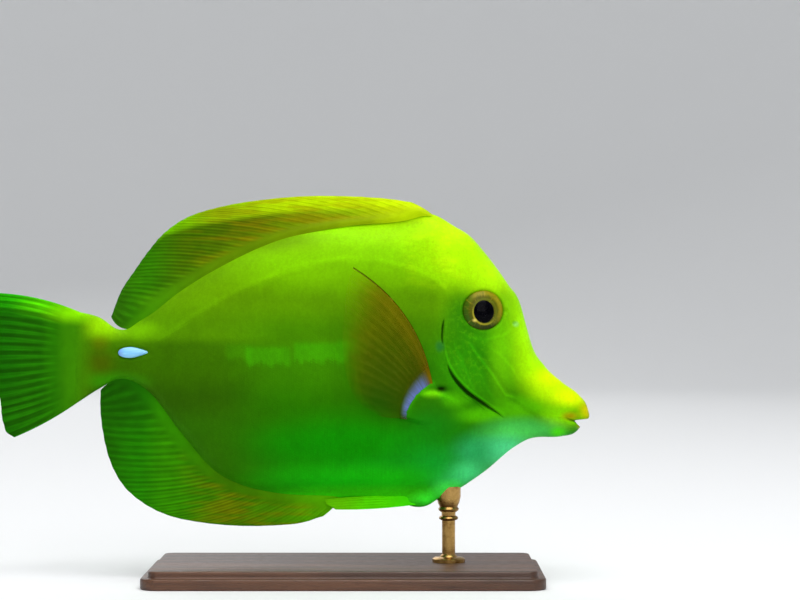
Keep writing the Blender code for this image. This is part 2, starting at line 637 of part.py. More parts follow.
def make_stand():
    """The base, the rod and the collar under the fish's chest."""
    length, width, height = (value * MM for value in BASE_SIZE)
    bpy.ops.mesh.primitive_cube_add(size=1.0, location=(0.0, 0.0, height / 2))
    base = bpy.context.object
    base.name = "stand_base"
    base.data.transform(Matrix.Diagonal((length, width, height, 1.0)))
    base.data.materials.append(paint("stand_wood", WOOD, 0.4))
    bevel = base.modifiers.new("bevel", "BEVEL")
    bevel.width = BASE_BEVEL * MM
    bevel.segments = 2
    rod_brass = paint("rod_brass", BRASS, 0.3, 1.0)
    turned("stand_rod", ROD_RADIUS, BASE_SIZE[2] + GAP, COLLAR_FOOT - GAP, rod_brass)
    collar_brass = paint("collar_brass", BRASS, 0.3, 1.0)
    collar = turned("stand_collar", COLLAR_RADIUS, COLLAR_FOOT, COLLAR_TOP, collar_brass)
    room = body_loft("room")
    for vert in room.data.vertices:
        vert.co += vert.normal * GAP * MM
    cut(collar, room, "DIFFERENCE")


def turned(name, radius, foot, top, material):
    """An upright cylinder over the stand."""
    rings = []
    for z in (foot, top):
        turns = [2 * math.pi * i / ROD_SIDES for i in range(ROD_SIDES)]
        rings.append([(ROD_X + radius * math.cos(turn), radius * math.sin(turn), z) for turn in turns])
    return ring_loft(name, rings, material)


def shade_round():
    """Shades every piece but the base smooth, with its sharp edges kept."""
    for piece in bpy.data.objects:
        if piece.name != "stand_base":
            piece.data.shade_smooth()
            piece.data.set_sharp_from_angle(angle=ROUND_BELOW)


def main():
    for old in list(bpy.data.objects):
        bpy.data.objects.remove(old)
    make_trunk()
    make_tail_stalk()
    make_head()
    make_upper_lip()
    make_lower_jaw()
    make_dorsal_fin()
    make_anal_fin()
    make_caudal_fin()
    for label, side in (("right", -1), ("left", 1)):
        make_gill_cover("gill_cover_" + label, side)
        make_pectoral_fin("pectoral_fin_" + label, side)
        make_pelvic_fin("pelvic_fin_" + label, side)
        eye_ball("eye_" + label, side, 0.0, paint("eye_gold_" + label, EYE_GOLD, 0.1))
        tail_blade("tail_spine_" + label, side, 0.0, paint("blade_white_" + label, BLADE_WHITE, 0.35))
    make_stand()
    shade_round()


main()
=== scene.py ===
"""A yellow tang as a museum shows it: one skin under fine scales, rayed fins, eyes, tail blades and a stand.

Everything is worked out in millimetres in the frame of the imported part, with +X towards the head, the right
side at -Y, +Z up and the origin under the middle of the base. MM turns it into metres when a mesh is made.
The skin, the scales and the fins are built in mesh code, because no primitive gives their flowing forms.
"""

import math

import bmesh
import bpy
import numpy as np
from mathutils import Matrix, Vector


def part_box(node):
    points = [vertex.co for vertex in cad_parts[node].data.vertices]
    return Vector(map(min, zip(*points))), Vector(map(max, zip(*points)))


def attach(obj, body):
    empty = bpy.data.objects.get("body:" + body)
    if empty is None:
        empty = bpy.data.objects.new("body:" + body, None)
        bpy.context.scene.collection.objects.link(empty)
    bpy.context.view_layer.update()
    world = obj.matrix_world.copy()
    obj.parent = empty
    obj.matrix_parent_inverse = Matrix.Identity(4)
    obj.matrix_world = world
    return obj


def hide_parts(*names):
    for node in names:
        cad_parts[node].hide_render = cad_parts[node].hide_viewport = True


MM = 0.001
RIGHT, LEFT = -1, 1
SIDES = (("right", RIGHT), ("left", LEFT))

# The body seen from the side without its fins, as x along the fish and height above the floor.
BACK = (
    (-74.8, 75.1), (-68.6, 73.4), (-63.4, 70.1), (-61.3, 70.1), (-57.4, 72.6), (-46.2, 81.6), (-32.2, 90.0),
    (-18.2, 96.2), (-1.4, 99.8), (15.4, 101.7), (21.0, 103.1), (24.8, 102.7), (30.5, 99.3), (35.6, 95.7),
    (38.9, 91.9), (45.6, 82.8), (49.0, 77.4), (50.9, 70.5), (52.4, 65.4), (55.7, 60.1), (60.8, 55.3),
    (65.8, 51.4), (67.5, 49.2), (68.3, 47.0),
)
BELLY = (
    (-74.8, 49.6), (-68.7, 53.5), (-63.3, 56.2), (-58.0, 54.8), (-54.6, 52.0), (-46.2, 41.0), (-36.4, 29.8),
    (-29.4, 25.9), (-21.0, 23.7), (-4.2, 22.3), (15.4, 20.9), (21.0, 20.9), (28.8, 23.7), (38.9, 30.1),
    (47.3, 37.1), (50.7, 39.1), (60.8, 40.2), (64.1, 41.0), (66.0, 42.6), (67.6, 44.2),
    (68.1, 45.1), (68.3, 46.2),
)
# Half the body's thickness, and the height at which each section is thickest.
HALF_WIDTH = (
    (-74.8, 1.5), (-68.6, 2.2), (-62.7, 2.8), (-54.6, 3.7), (-46.2, 5.0), (-35.0, 6.8), (-23.8, 8.2),
    (-12.6, 9.4), (-1.4, 10.2), (9.8, 10.6), (20.0, 10.5), (27.0, 10.1), (38.5, 8.6), (49.0, 6.1),
    (60.2, 4.0), (64.0, 3.4), (66.5, 2.6), (67.8, 1.6), (68.3, 0.7),
)
WIDEST_AT = (
    (-74.8, 62.3), (-40.0, 63.5), (-12.6, 64.0), (9.8, 65.0), (25.0, 68.0), (38.5, 70.5), (44.0, 66.0),
    (50.0, 57.0), (55.0, 50.5), (60.0, 47.8), (68.3, 46.6),
)
# The fleshy keels that carry the dorsal and the anal fin: how far each stands off the flanks, and half its
# thickness.
BACK_KEEL = ((-74.8, 0.2), (-62.7, 0.3), (-54.6, 1.0), (-12.6, 1.8), (12.0, 3.2), (20.0, 3.4), (31.0, 0.6),
             (68.3, 0.05))
BACK_KEEL_HALF = ((-74.8, 0.9), (-50.0, 0.9), (20.0, 1.2), (45.0, 0.9), (64.0, 0.7), (68.3, 0.2))
BELLY_KEEL = ((-74.8, 0.2), (-62.7, 0.3), (-50.4, 0.9), (-12.6, 1.6), (10.0, 2.4), (19.0, 2.4), (25.0, 0.5),
              (68.3, 0.05))
BELLY_KEEL_HALF = ((-74.8, 0.9), (-50.0, 0.9), (10.0, 1.2), (20.0, 1.7), (30.0, 1.2), (64.0, 0.7),
                   (68.3, 0.2))
KEEL_LEAST = 0.1
LEAN_ABOVE = ((-74.8, 1.0), (-12.6, 1.15), (20.0, 1.1), (34.0, 1.0), (50.0, 0.98), (68.3, 0.85))
LEAN_BELOW = ((-74.8, 1.0), (20.0, 1.0), (34.0, 1.2), (50.0, 1.15), (60.0, 0.9), (68.3, 0.85))
TAIL_END, SNOUT_TIP = -74.8, 68.3
# The flesh runs on over the roots of the tail fin's rays and thins out there.
FLESH_END, FLESH_FULL, FLESH_THIN = -80.0, -74.4, 0.03

# How finely the body's sections are worked out, and how often their outline is evened to round the keels.
TABLE_STEP, OUTLINE_STEPS, CREST_STEPS, FLANK_STEPS, ROUNDING = 0.2, 400, 24, 240, 60
SIDE_ROWS = 180
CLOSE_HEIGHTS, CLOSER = (40.0, 46.0, 78.0, 86.0), 0.6

# The gill opening's edge as height and x. The skin's rings run along it where they are near it.
GILL_EDGE = (
    (26.0, 43.0), (38.0, 45.4), (44.0, 45.2), (46.2, 43.7), (48.1, 41.3), (50.3, 38.3), (52.4, 35.4),
    (54.5, 33.1), (58.7, 29.6), (61.5, 28.2), (64.3, 27.5), (72.1, 27.6), (86.7, 28.6), (98.4, 30.0),
    (104.0, 30.4),
)
GILL_RING = 27.2
GILL_BEHIND, GILL_AHEAD = 8.0, 60.0

# Fins. Each row is one ray: how far along the fin from 0 to 1, x at its base, then x and height at its tip.
DORSAL = (
    (0.0, 24.0, 18.4, 105.7), (0.06, 21.8, 11.2, 106.7), (0.2, 13.0, -11.2, 107.4),
    (0.3, 5.0, -25.2, 106.1), (0.4, -3.6, -35.6, 104.2), (0.5, -12.0, -44.0, 101.5),
    (0.6, -21.6, -50.4, 97.3), (0.7, -31.0, -54.9, 92.3), (0.8, -39.5, -59.1, 86.4),
    (0.9, -49.6, -62.7, 80.8), (1.0, -60.4, -65.4, 73.6),
)
ANAL = (
    (0.0, -1.4, -6.4, 17.7), (0.07, -4.2, -12.6, 15.8), (0.15, -7.6, -21.0, 15.1),
    (0.35, -18.6, -40.6, 16.1), (0.45, -24.6, -49.0, 17.9), (0.55, -30.0, -56.0, 21.2),
    (0.65, -35.0, -61.9, 26.2), (0.75, -40.2, -65.8, 33.2), (0.85, -46.4, -67.9, 41.6),
    (0.93, -53.0, -68.6, 48.0), (1.0, -62.0, -68.5, 53.0),
)
CAUDAL = (
    (0.0, 50.1, -92.7, 39.8, 0.03), (0.05, 51.2, -94.9, 41.2, 0.03), (0.1, 52.4, -95.8, 43.8, 0.03),
    (0.25, 55.9, -96.5, 49.6, 0.02), (0.5, 61.8, -98.3, 60.9, 0.0), (0.75, 67.9, -99.2, 71.6, -0.03),
    (0.9, 72.1, -99.7, 77.6, -0.045), (1.0, 74.9, -98.8, 80.3, -0.05),
)
PECTORAL = (
    (0.0, 24.2, 56.0, 2.8, 87.2), (0.15, 23.0, 55.3, 0.9, 81.5), (0.3, 21.6, 54.3, 0.3, 75.6),
    (0.5, 19.6, 52.4, -0.2, 67.5), (0.7, 17.9, 50.0, 0.6, 58.5), (0.85, 16.9, 47.8, 3.4, 51.0),
    (1.0, 16.2, 45.6, 9.5, 46.3),
)
PELVIC = ((0.0, 18.9, 21.1, -2.6, 19.8), (0.5, 18.9, 22.3, -5.0, 21.2), (1.0, 18.9, 23.5, -5.6, 22.6))
# A wave is how far a fin's edge swings sideways, how many half waves it holds and where the first one starts.
DORSAL_WAVE, ANAL_WAVE, CAUDAL_WAVE = (0.9, 3.0, 0.2), (0.7, 2.0, 0.5), (0.8, 2.0, 0.4)
DORSAL_BOW, ANAL_BOW, PECTORAL_BOW, PELVIC_BOW = -0.03, 0.04, -0.11, 0.02
DORSAL_END_BOW, ANAL_END_BOW = 0.2, -0.14
PECTORAL_OFF, PECTORAL_SPREAD, PECTORAL_CUP = 1.1, 0.48, 0.003
PELVIC_ROOT_Y, PELVIC_TIP_Y = 2.0, 1.9

# The eye in the side view, its flattened ball and how deep the ball's middle lies.
EYE_AT = (38.5, 75.5)
EYE_RADIUS, EYE_HALF, EYE_SUNK = 6.0, 3.2, 1.8
TAIL_SPINE_AT = (-59.4, 63.4)

ROD_X = 29.0


def smooth_line(knots, column=1):
    """A function of the knots' first value that runs smoothly through the values in one of their columns."""
    xs = np.array([k[0] for k in knots], float)
    ys = np.array([k[column] for k in knots], float)
    span = np.diff(xs)
    slope = np.diff(ys) / span
    bend = np.concatenate([slope[:1], slope[:1], slope[1:]])
    bend[1:-1] = (slope[:-1] * span[1:] + slope[1:] * span[:-1]) / (span[:-1] + span[1:])

    def line(x):
        x = np.clip(x, xs[0], xs[-1])
        i = np.clip(np.searchsorted(xs, x, side="right") - 1, 0, len(xs) - 2)
        t = (x - xs[i]) / span[i]
        return (
            ys[i] * (1 + 2 * t) * (1 - t) ** 2
            + bend[i] * span[i] * t * (1 - t) ** 2
            + ys[i + 1] * t * t * (3 - 2 * t)
            + bend[i + 1] * span[i] * t * t * (t - 1)
        )

    return line


def ease(low, high, x):
    """0 below low and 1 above high, with a soft rise between; low may be the greater of the two."""
    t = np.clip((x - low) / (high - low), 0.0, 1.0)
    return t * t * (3 - 2 * t)


def hill(x, middle, width):
    """A soft hill of height 1."""
    return np.exp(-(((x - middle) / width) ** 2))


back, belly = smooth_line(BACK), smooth_line(BELLY)
half_width, widest_at = smooth_line(HALF_WIDTH), smooth_line(WIDEST_AT)
back_keel_line, back_keel_half = smooth_line(BACK_KEEL), smooth_line(BACK_KEEL_HALF)
belly_keel_line, belly_keel_half = smooth_line(BELLY_KEEL), smooth_line(BELLY_KEEL_HALF)
lean_above, lean_below = smooth_line(LEAN_ABOVE), smooth_line(LEAN_BELOW)
gill_edge = smooth_line(GILL_EDGE)


def back_keel(x):
    """How far the keel on the back stands off the flanks."""
    return np.maximum(back_keel_line(x), KEEL_LEAST)


def belly_keel(x):
    """How far the keel under the belly stands off the flanks."""
    return np.maximum(belly_keel_line(x), KEEL_LEAST)


def flank(x, z):
    """Half the body's thickness at a point seen from the side."""
    middle = widest_at(x)
    above = z >= middle
    edge = np.where(above, back(x) - back_keel(x), belly(x) + belly_keel(x))
    keel = np.where(above, back_keel_half(x), belly_keel_half(x))
    lean = np.where(above, lean_above(x), lean_below(x))
    rise = np.minimum(np.abs(z - middle) / np.abs(edge - middle), 1.0)
    return keel + (half_width(x) - keel) * np.sqrt(1 - rise * rise) ** lean


def even_steps(y, z, count, weight=None):
    """The points of each section again, at even steps along its outline, or closer where weight is high."""
    made_y, made_z = np.empty((len(y), count)), np.empty((len(y), count))
    share = np.linspace(0.0, 1.0, count)
    for i in range(len(y)):
        run = np.hypot(np.diff(y[i]), np.diff(z[i]))
        if weight is not None:
            run = run * weight((z[i][1:] + z[i][:-1]) / 2)
        way = np.concatenate([[0.0], np.cumsum(run)])
        made_y[i] = np.interp(share * way[-1], way, y[i])
        made_z[i] = np.interp(share * way[-1], way, z[i])
    return made_y, made_z


def close_rows(z):
    """How close together the skin's rows lie at a height: closer between the mouth and the eye."""
    low, full, last, high = CLOSE_HEIGHTS
    return 1 + CLOSER * ease(low, full, z) * ease(high, last, z)


def side_table():
    """Stations along the fish, and each one's half outline from the back's crest down to the belly's."""
    x = np.arange(FLESH_END, SNOUT_TIP + TABLE_STEP / 2, TABLE_STEP)[:, None]
    top, low, middle = back(x) - back_keel(x), belly(x) + belly_keel(x), widest_at(x)
    turn = np.linspace(math.pi / 2, -math.pi / 2, FLANK_STEPS)[None, :]
    above, rise = turn >= 0, np.sin(turn)
    z = middle + np.where(above, top - middle, middle - low) * rise
    keel = np.where(above, back_keel_half(x), belly_keel_half(x))
    lean = np.where(above, lean_above(x), lean_below(x))
    y = keel + (half_width(x) - keel) * np.sqrt(np.maximum(1 - rise * rise, 0.0)) ** lean
    round_by = np.linspace(0.0, math.pi / 2, CREST_STEPS, endpoint=False)[None, :]
    crest_y, crest_z = back_keel_half(x) * np.sin(round_by) ** 0.7, top + back_keel(x) * np.cos(round_by) ** 0.7
    foot_y, foot_z = belly_keel_half(x) * np.sin(round_by) ** 0.7, low - belly_keel(x) * np.cos(round_by) ** 0.7
    y = np.concatenate([crest_y, y, foot_y[:, ::-1]], axis=1)
    z = np.concatenate([crest_z, z, foot_z[:, ::-1]], axis=1)
    y, z = even_steps(y, z, OUTLINE_STEPS)
    for _ in range(ROUNDING):
        wide_y = np.concatenate([-y[:, 1:2], y, -y[:, -2:-1]], axis=1)
        wide_z = np.concatenate([z[:, 1:2], z, z[:, -2:-1]], axis=1)
        y = (wide_y[:, :-2] + 2 * y + wide_y[:, 2:]) / 4
        z = (wide_z[:, :-2] + 2 * z + wide_z[:, 2:]) / 4
    y, z = even_steps(y, z, SIDE_ROWS + 1, close_rows)
    bend = 0.5 * (1 - ((z - widest_at(TAIL_END)) / 13.0) ** 2)
    thin = ease(FLESH_END + bend, FLESH_FULL, x + 0.0 * z)
    return x[:, 0], y * (FLESH_THIN + (1 - FLESH_THIN) * thin), z


TABLE_X, TABLE_Y, TABLE_Z = side_table()


def side_points(u, rows):
    """The right side's points (half thickness, height and x) on rings u, bent along the gill opening."""
    columns = np.arange(0, SIDE_ROWS + 1, rows)
    warp = np.where(u < GILL_RING, ease(GILL_BEHIND, GILL_RING, u), ease(GILL_AHEAD, GILL_RING, u))
    x = np.repeat(u[:, None], len(columns), axis=1)
    y, z = np.empty_like(x), np.empty_like(x)
    for _ in range(5):
        for k, column in enumerate(columns):
            z[:, k] = np.interp(x[:, k], TABLE_X, TABLE_Z[:, column])
            y[:, k] = np.interp(x[:, k], TABLE_X, TABLE_Y[:, column])
        x = u[:, None] + warp[:, None] * (gill_edge(z) - GILL_RING)
    for k, column in enumerate(columns):
        z[:, k] = np.interp(x[:, k], TABLE_X, TABLE_Z[:, column])
        y[:, k] = np.interp(x[:, k], TABLE_X, TABLE_Y[:, column])
    y[:, 0] = 0.0
    y[:, -1] = 0.0
    return np.stack([x, -y, z], axis=2)


def turned_out(points):
    """The outward normals of the right side's grid of points, level with the middle plane at its rims."""
    mirror = np.array([1.0, -1.0, 1.0])
    wide = np.concatenate([points[:, 1:2] * mirror, points, points[:, -2:-1] * mirror], axis=1)
    down = wide[:, 2:] - wide[:, :-2]
    along = np.gradient(points, axis=0)
    normal = np.cross(down, along)
    return normal / np.maximum(np.linalg.norm(normal, axis=2, keepdims=True), 1e-9)


def near_line(x, z, line):
    """The distance in the side view to an open line, its sign by side, and how far along it the place is."""
    best = np.full(x.shape, 1e9)
    side, share = np.zeros(x.shape), np.zeros(x.shape)
    for i in range(len(line) - 1):
        (ax, az), (bx, bz) = line[i], line[i + 1]
        run = math.hypot(bx - ax, bz - az)
        dx, dz = (bx - ax) / run, (bz - az) / run
        t = np.clip((x - ax) * dx + (z - az) * dz, 0.0, run)
        away = np.hypot(x - ax - t * dx, z - az - t * dz)
        closer = away < best
        best = np.where(closer, away, best)
        side = np.where(closer, np.sign((x - ax) * dz - (z - az) * dx), side)
        share = np.where(closer, (i + t / run) / (len(line) - 1), share)
    return best, side, share


# The relief of the skin. Each feature's places are x and height in the side view.
EYE_FLAT = 0.93
EYE_FOLD = ((0.0, -1.7), (4.7, -1.45), (5.5, -0.75), (5.95, -0.08), (6.4, 0.14), (7.3, 0.09), (8.8, 0.0))
NOSTRIL_HOLES = (((47.1, 71.9), (0.62, 0.62), 0.55), ((44.9, 75.2), (0.42, 0.95), 0.45))
MOUTH_LINE = ((58.0, 46.3), (61.5, 45.3), (64.0, 44.6), (66.0, 44.62), (69.0, 44.75))
MOUTH_DEPTH = ((58.0, 0.0), (61.0, 0.0), (61.9, 0.3), (64.0, 0.55), (66.5, 0.7), (69.0, 0.7))
# How far forward the lower lip and the room between the lips reach at each height, and how soft that stop is.
LIP_FRONT = (
    (38.0, 69.0), (41.0, 67.2), (42.0, 66.2), (42.5, 65.9), (42.9, 65.7), (43.2, 65.4), (43.6, 64.95),
    (44.0, 64.6), (44.4, 64.3), (46.0, 64.3),
)
LIP_SOFT, LIP_EDGE = 0.22, (0.34, 0.12)
JAW_CREASE = ((45.2, 51.0), (48.0, 49.2), (51.5, 47.0), (54.5, 44.8), (57.0, 43.2))
# Each of the cheek's fine lines has its strength and its places.
CHEEK_LINES = (
    (1.0, ((34.0, 67.4), (36.4, 63.6), (38.3, 61.1), (40.8, 57.9), (43.2, 54.0), (44.7, 51.9), (48.2, 51.0))),
    (0.5, ((31.2, 64.9), (32.6, 61.5), (34.3, 56.6), (36.1, 52.6))),
    (0.4, ((30.2, 67.0), (31.2, 63.4), (33.2, 58.0))),
    (0.35, ((28.4, 66.2), (30.0, 63.2), (32.4, 57.6), (34.0, 55.0))),
    (0.3, ((35.4, 62.0), (37.8, 57.6), (39.4, 54.0), (41.4, 50.6))),
    (0.35, ((31.0, 71.4), (34.0, 68.2), (39.0, 67.2), (44.2, 68.6), (46.6, 70.6))),
    (0.3, ((39.0, 66.0), (42.8, 63.6), (46.4, 59.6), (49.0, 55.0))),
)
UPPER_SLIT, LOWER_SLIT = (69.6, 3.4), (53.0, 7.4)
SLIT_WIDE, SLIT_DEEP = 1.2, 1.1
# The pectoral fin's fleshy base: the line of its rim, how high it stands and how far it reaches forward.
LOBE_RIM = ((24.9, 56.3), (23.1, 55.3), (21.6, 54.2), (19.5, 52.2), (17.9, 49.9), (16.9, 47.7), (16.1, 45.0))
LOBE_HIGH, LOBE_REACH = 1.7, 8.5
AXIL_AT, AXIL_REACH = (26.9, 53.7), (1.7, 0.85)
AXIL_FOLD = ((20.6, 51.6), (22.4, 52.5), (24.6, 52.6), (26.6, 52.0), (28.8, 51.2), (31.2, 50.0), (34.2, 48.0))
PELVIC_PAD_AT, PELVIC_PAD_REACH = (20.6, 22.3), (4.6, 1.8)
LATERAL_LINE = (
    (30.0, 79.0), (25.5, 83.4), (19.0, 86.9), (8.4, 89.4), (-4.0, 89.2), (-16.0, 86.3), (-30.0, 80.5),
    (-42.0, 73.5), (-50.0, 67.5), (-55.0, 65.0),
)

mouth_line, mouth_depth, lip_front = smooth_line(MOUTH_LINE), smooth_line(MOUTH_DEPTH), smooth_line(LIP_FRONT)
eye_fold = smooth_line(EYE_FOLD)


def eye_ring(x, z):
    """How far a place is from the eye's middle in the side view, on rings that are a little flattened."""
    return np.hypot(x - EYE_AT[0], (z - EYE_AT[1]) / EYE_FLAT)


def mouth_relief(x, z):
    """The lips, the crease between them and the fold at the mouth's corner, over the plain snout."""
    off = z - mouth_line(x)
    lips = ease(60.4, 63.0, x)
    upper = 0.16 * hill(off, 1.0, 0.7) * (off > 0)
    lower = 0.3 * hill(off, -1.1, 0.75) * (off < 0)
    crease = -0.07 * hill(off, 2.3, 0.5) - 0.12 * hill(off, -2.3, 0.4)
    gap = -mouth_depth(x) * (1 - ease(0.0, 0.5, np.abs(off)))
    corner = 0.16 * hill(np.hypot(x - 60.9, off), 0.0, 1.1)
    return lips * (upper + lower + crease) + gap + corner


def slit_share(z, slit):
    """How wide one of the gill's slits is at a height, from 0 at its ends to 1."""
    middle, reach = slit
    return np.sqrt(np.clip(1 - ((z - middle) / reach) ** 2, 0.0, 1.0))


def gill_places(u, z):
    """The distance ahead of the gill cover's edge, and how wide the upper and the lower slit are there."""
    slope = gill_edge(z + 0.5) - gill_edge(z - 0.5)
    off = (u - GILL_RING) / np.sqrt(1 + slope * slope)
    return off, slit_share(z, UPPER_SLIT), slit_share(z, LOWER_SLIT)


def slit_depth(off, upper, lower):
    """How deep in a slit a place is, from 0 outside it to 1."""
    wide = SLIT_WIDE * np.maximum(0.55 * upper, lower ** 1.5) + 0.05
    return np.maximum(upper, lower) * ease(-wide, -0.55 * wide, off) * ease(0.12, -0.06, off)


def gill_relief(u, z):
    """The gill cover's raised edge, the slits behind it and the shoulder's fold behind them."""
    off, upper, lower = gill_places(u, z)
    open_by = np.maximum(0.8 * upper, lower)
    cover = (0.34 * open_by + 0.1 * ease(46.0, 50.0, z) * ease(76.0, 70.0, z)) * ease(-0.05, 0.5, off)
    cover = cover * ease(8.0, 1.5, off)
    shoulder = 0.26 * hill(off, -2.1, 0.7) * lower
    return cover + shoulder - SLIT_DEEP * slit_depth(off, upper, lower), off, open_by


def beside(x, z, line):
    """The signed distance to an open line, and how far the place is from the line's ends, from 0 to 1."""
    away, side, share = near_line(x, z, line)
    return away * side, ease(0.0, 0.1, share) * ease(1.0, 0.9, share)


def lobe_height(x, z):
    """The fleshy base of the pectoral fin: a sharp rim behind, and a soft slope to the front."""
    off, inside = beside(x, z, LOBE_RIM)
    off = -off
    return LOBE_HIGH * ease(-0.55, 0.2, off) * ease(LOBE_REACH, 0.6, off) * inside, off


def relief(u, points):
    """How far the skin stands off the plain body at each point of the right side."""
    x, z = points[:, :, 0], points[:, :, 2]
    u = u[:, None] + 0.0 * x
    height, off, open_by = gill_relief(u, z)
    height = height + eye_fold(eye_ring(x, z))
    for (hole_x, hole_z), (reach_x, reach_z), deep in NOSTRIL_HOLES:
        ring = np.hypot((x - hole_x) / reach_x, (z - hole_z) / reach_z)
        height = height - deep * (1 - ease(0.35, 1.0, ring)) + 0.14 * hill(ring, 1.3, 0.4)
    height = height + mouth_relief(x, z)
    crease, inside = beside(x, z, JAW_CREASE)
    height = height - 0.14 * hill(crease, 0.0, 0.7) * inside + 0.08 * hill(crease, -1.5, 1.0) * inside
    for strength, line in CHEEK_LINES:
        ridge, inside = beside(x, z, line)
        inside = inside * strength
        height = height + (0.17 * hill(ridge, 0.0, 0.45) - 0.07 * hill(ridge, -1.1, 0.6)) * inside
    height = height + lobe_height(x, z)[0]
    hollow = np.hypot((x - AXIL_AT[0]) / AXIL_REACH[0], (z - AXIL_AT[1]) / AXIL_REACH[1])
    fold, inside = beside(x, z, AXIL_FOLD)
    height = height - 1.0 * hill(hollow, 0.0, 0.9) + 0.28 * hill(fold, 0.0, 0.7) * inside * ease(34.0, 27.0, x)
    pad = np.hypot((x - PELVIC_PAD_AT[0]) / PELVIC_PAD_REACH[0], (z - PELVIC_PAD_AT[1]) / PELVIC_PAD_REACH[1])
    height = height + 1.2 * (1 - ease(0.3, 1.2, pad))
    lateral, inside = beside(x, z, LATERAL_LINE)
    height = height + 0.06 * hill(lateral, 0.0, 0.45) * inside
    groove = np.hypot((x - TAIL_SPINE_AT[0]) / 5.6, (z - TAIL_SPINE_AT[1]) / 2.0)
    height = height - 0.45 * (1 - ease(0.6, 1.0, groove)) + 0.12 * hill(groove, 1.15, 0.2)
    return height, off, open_by


def skin_light_and_shade(u, x, z):
    """What the skin's colour is multiplied by at a place: painted shade in the slits, the creases, the hollow,
    the mouth's gap, round the eye and below the lateral line; painted highlights on rims, ridges, folds,
    the lateral line and along the belly's foot.
    """
    off, upper, lower = gill_places(u, z)
    tone = 1 - 0.84 * slit_depth(off, 0.6 * upper, lower)
    rim = ease(46.0, 52.0, z) * ease(68.0, 62.0, z)
    tone = tone + 0.7 * hill(off, 0.5, 0.24) * rim + 0.12 * hill(off, 0.5, 0.35) * upper
    lateral, inside = beside(x, z, LATERAL_LINE)
    tone = tone - 0.15 * ease(0.5, -0.9, lateral) * ease(-11.0, -2.0, lateral) * inside
    tone = tone + 0.1 * hill(lateral, 0.6, 0.6) * inside
    tone = tone + 0.3 * ease(5.0, 0.8, z - belly(x)) * ease(6.0, -10.0, x) * ease(-60.0, -50.0, x)
    for strength, line in CHEEK_LINES:
        ridge, inside = beside(x, z, line)
        inside = inside * strength
        tone = tone + (0.4 * hill(ridge, 0.0, 0.36) - 0.12 * hill(ridge, -1.1, 0.6)) * inside
    crease, inside = beside(x, z, JAW_CREASE)
    tone = tone - 0.1 * hill(crease, 0.0, 0.8) * inside
    hollow = np.hypot((x - AXIL_AT[0]) / AXIL_REACH[0], (z - AXIL_AT[1]) / AXIL_REACH[1])
    fold, inside = beside(x, z, AXIL_FOLD)
    tone = tone + 0.75 * hill(fold, -0.2, 0.8) * inside * ease(31.0, 26.0, x) - 1.1 * hill(hollow, 0.0, 0.8)
    height, rim = lobe_height(x, z)
    tone = tone + 0.6 * hill(rim, 0.45, 0.55) * height / LOBE_HIGH * ease(46.0, 50.0, z)
    gap = (1 - ease(0.1, 0.45, np.abs(z - mouth_line(x)))) * ease(61.4, 63.6, x)
    tone = tone - 0.55 * gap
    socket = eye_ring(x, z)
    return np.clip(tone - 0.5 * ease(6.1, 5.6, socket) * ease(3.0, 4.5, socket), 0.06, 1.7)


# The broken pale band along the flank: each block's middle, its reach and its strength.
BAND_BLOCKS = (
    ((-21.0, 62.9), (6.2, 2.6), 0.8), ((-6.3, 64.0), (7.4, 2.7), 1.0), ((8.5, 65.6), (10.0, 2.0), 0.5),
    ((-29.0, 64.0), (3.6, 2.2), 0.25),
)
BAND_TEETH, BAND_TEETH_WAVE, BAND_JAG = 5.2, 2.1, 0.9


def pale_band(x, z):
    """How pale the flank is where the band crosses it, in blocks with a comb's lower edge."""
    jag = BAND_JAG * (np.sin(BAND_TEETH * x + 1.7 * np.sin(BAND_TEETH_WAVE * x)) + 0.5 * np.sin(1.3 * x)) / 1.5
    share = 0.0 * x
    for (middle_x, middle_z), (reach_x, reach_z), strength in BAND_BLOCKS:
        ends = ease(1.12, 0.9, np.abs(x - middle_x) / reach_x)
        lower = middle_z - reach_z + jag
        share = share + strength * ends * ease(-0.5, 0.7, z - lower) * ease(0.6, -1.2, z - middle_z - reach_z)
    return np.clip(share, 0.0, 1.0)


def open_mouth(points):
    """Draws the lower lip and the room between the lips back, so that the upper lip juts out over them."""
    x, z = points[:, :, 0], points[:, :, 2]
    off = z - mouth_line(x)
    below = ease(LIP_EDGE[0], LIP_EDGE[1], off)
    stop = lip_front(z)
    held = stop - LIP_SOFT * np.logaddexp(0.0, (stop - x) / LIP_SOFT)
    inside = below * ease(-0.5, -0.1, off) * ease(63.6, 65.0, x)
    points[:, :, 0] = x + below * (held - x)
    points[:, :, 1] *= 1 - 0.55 * inside


def skin_side(u, rows):
    """The finished right side on rings u: its points, with the relief, their normals, the painted light and
    shade, and the band.
    """
    points = side_points(u, rows)
    normal = turned_out(points)
    height, off, open_by = relief(u, points)
    done = points + normal * height[:, :, None]
    tuck = 0.28 * hill(off, 0.1, 0.3) * open_by
    done[:, :, 0] -= tuck
    open_mouth(done)
    done[:, 0, 1] = 0.0
    done[:, -1, 1] = 0.0
    tone = skin_light_and_shade(u[:, None] + 0.0 * off, points[:, :, 0], points[:, :, 2])
    band = pale_band(points[:, :, 0], points[:, :, 2])
    return done, turned_out(done), np.stack([tone, band], axis=2)


def ring_places():
    """Where the rings lie along the fish: three stretches, the middle one with twice as many rows."""
    body = np.arange(FLESH_END, GILL_BEHIND, 0.76)
    head = np.concatenate([
        np.arange(GILL_BEHIND, 14.0, 0.45), np.arange(14.0, 25.9, 0.25), np.arange(25.9, 27.6, 0.115),
        np.arange(27.6, 46.0, 0.28), np.arange(46.0, 58.0, 0.34),
    ])
    snout = np.concatenate([np.arange(58.0, 66.0, 0.19), np.linspace(66.0, 68.22, 22)])
    return body, head, snout


def full_ring(side):
    """A whole ring of points from those of its right half, down the right side and up the left."""
    mirror = np.array([1.0, -1.0, 1.0])
    return np.concatenate([side, side[-2:0:-1] * mirror])


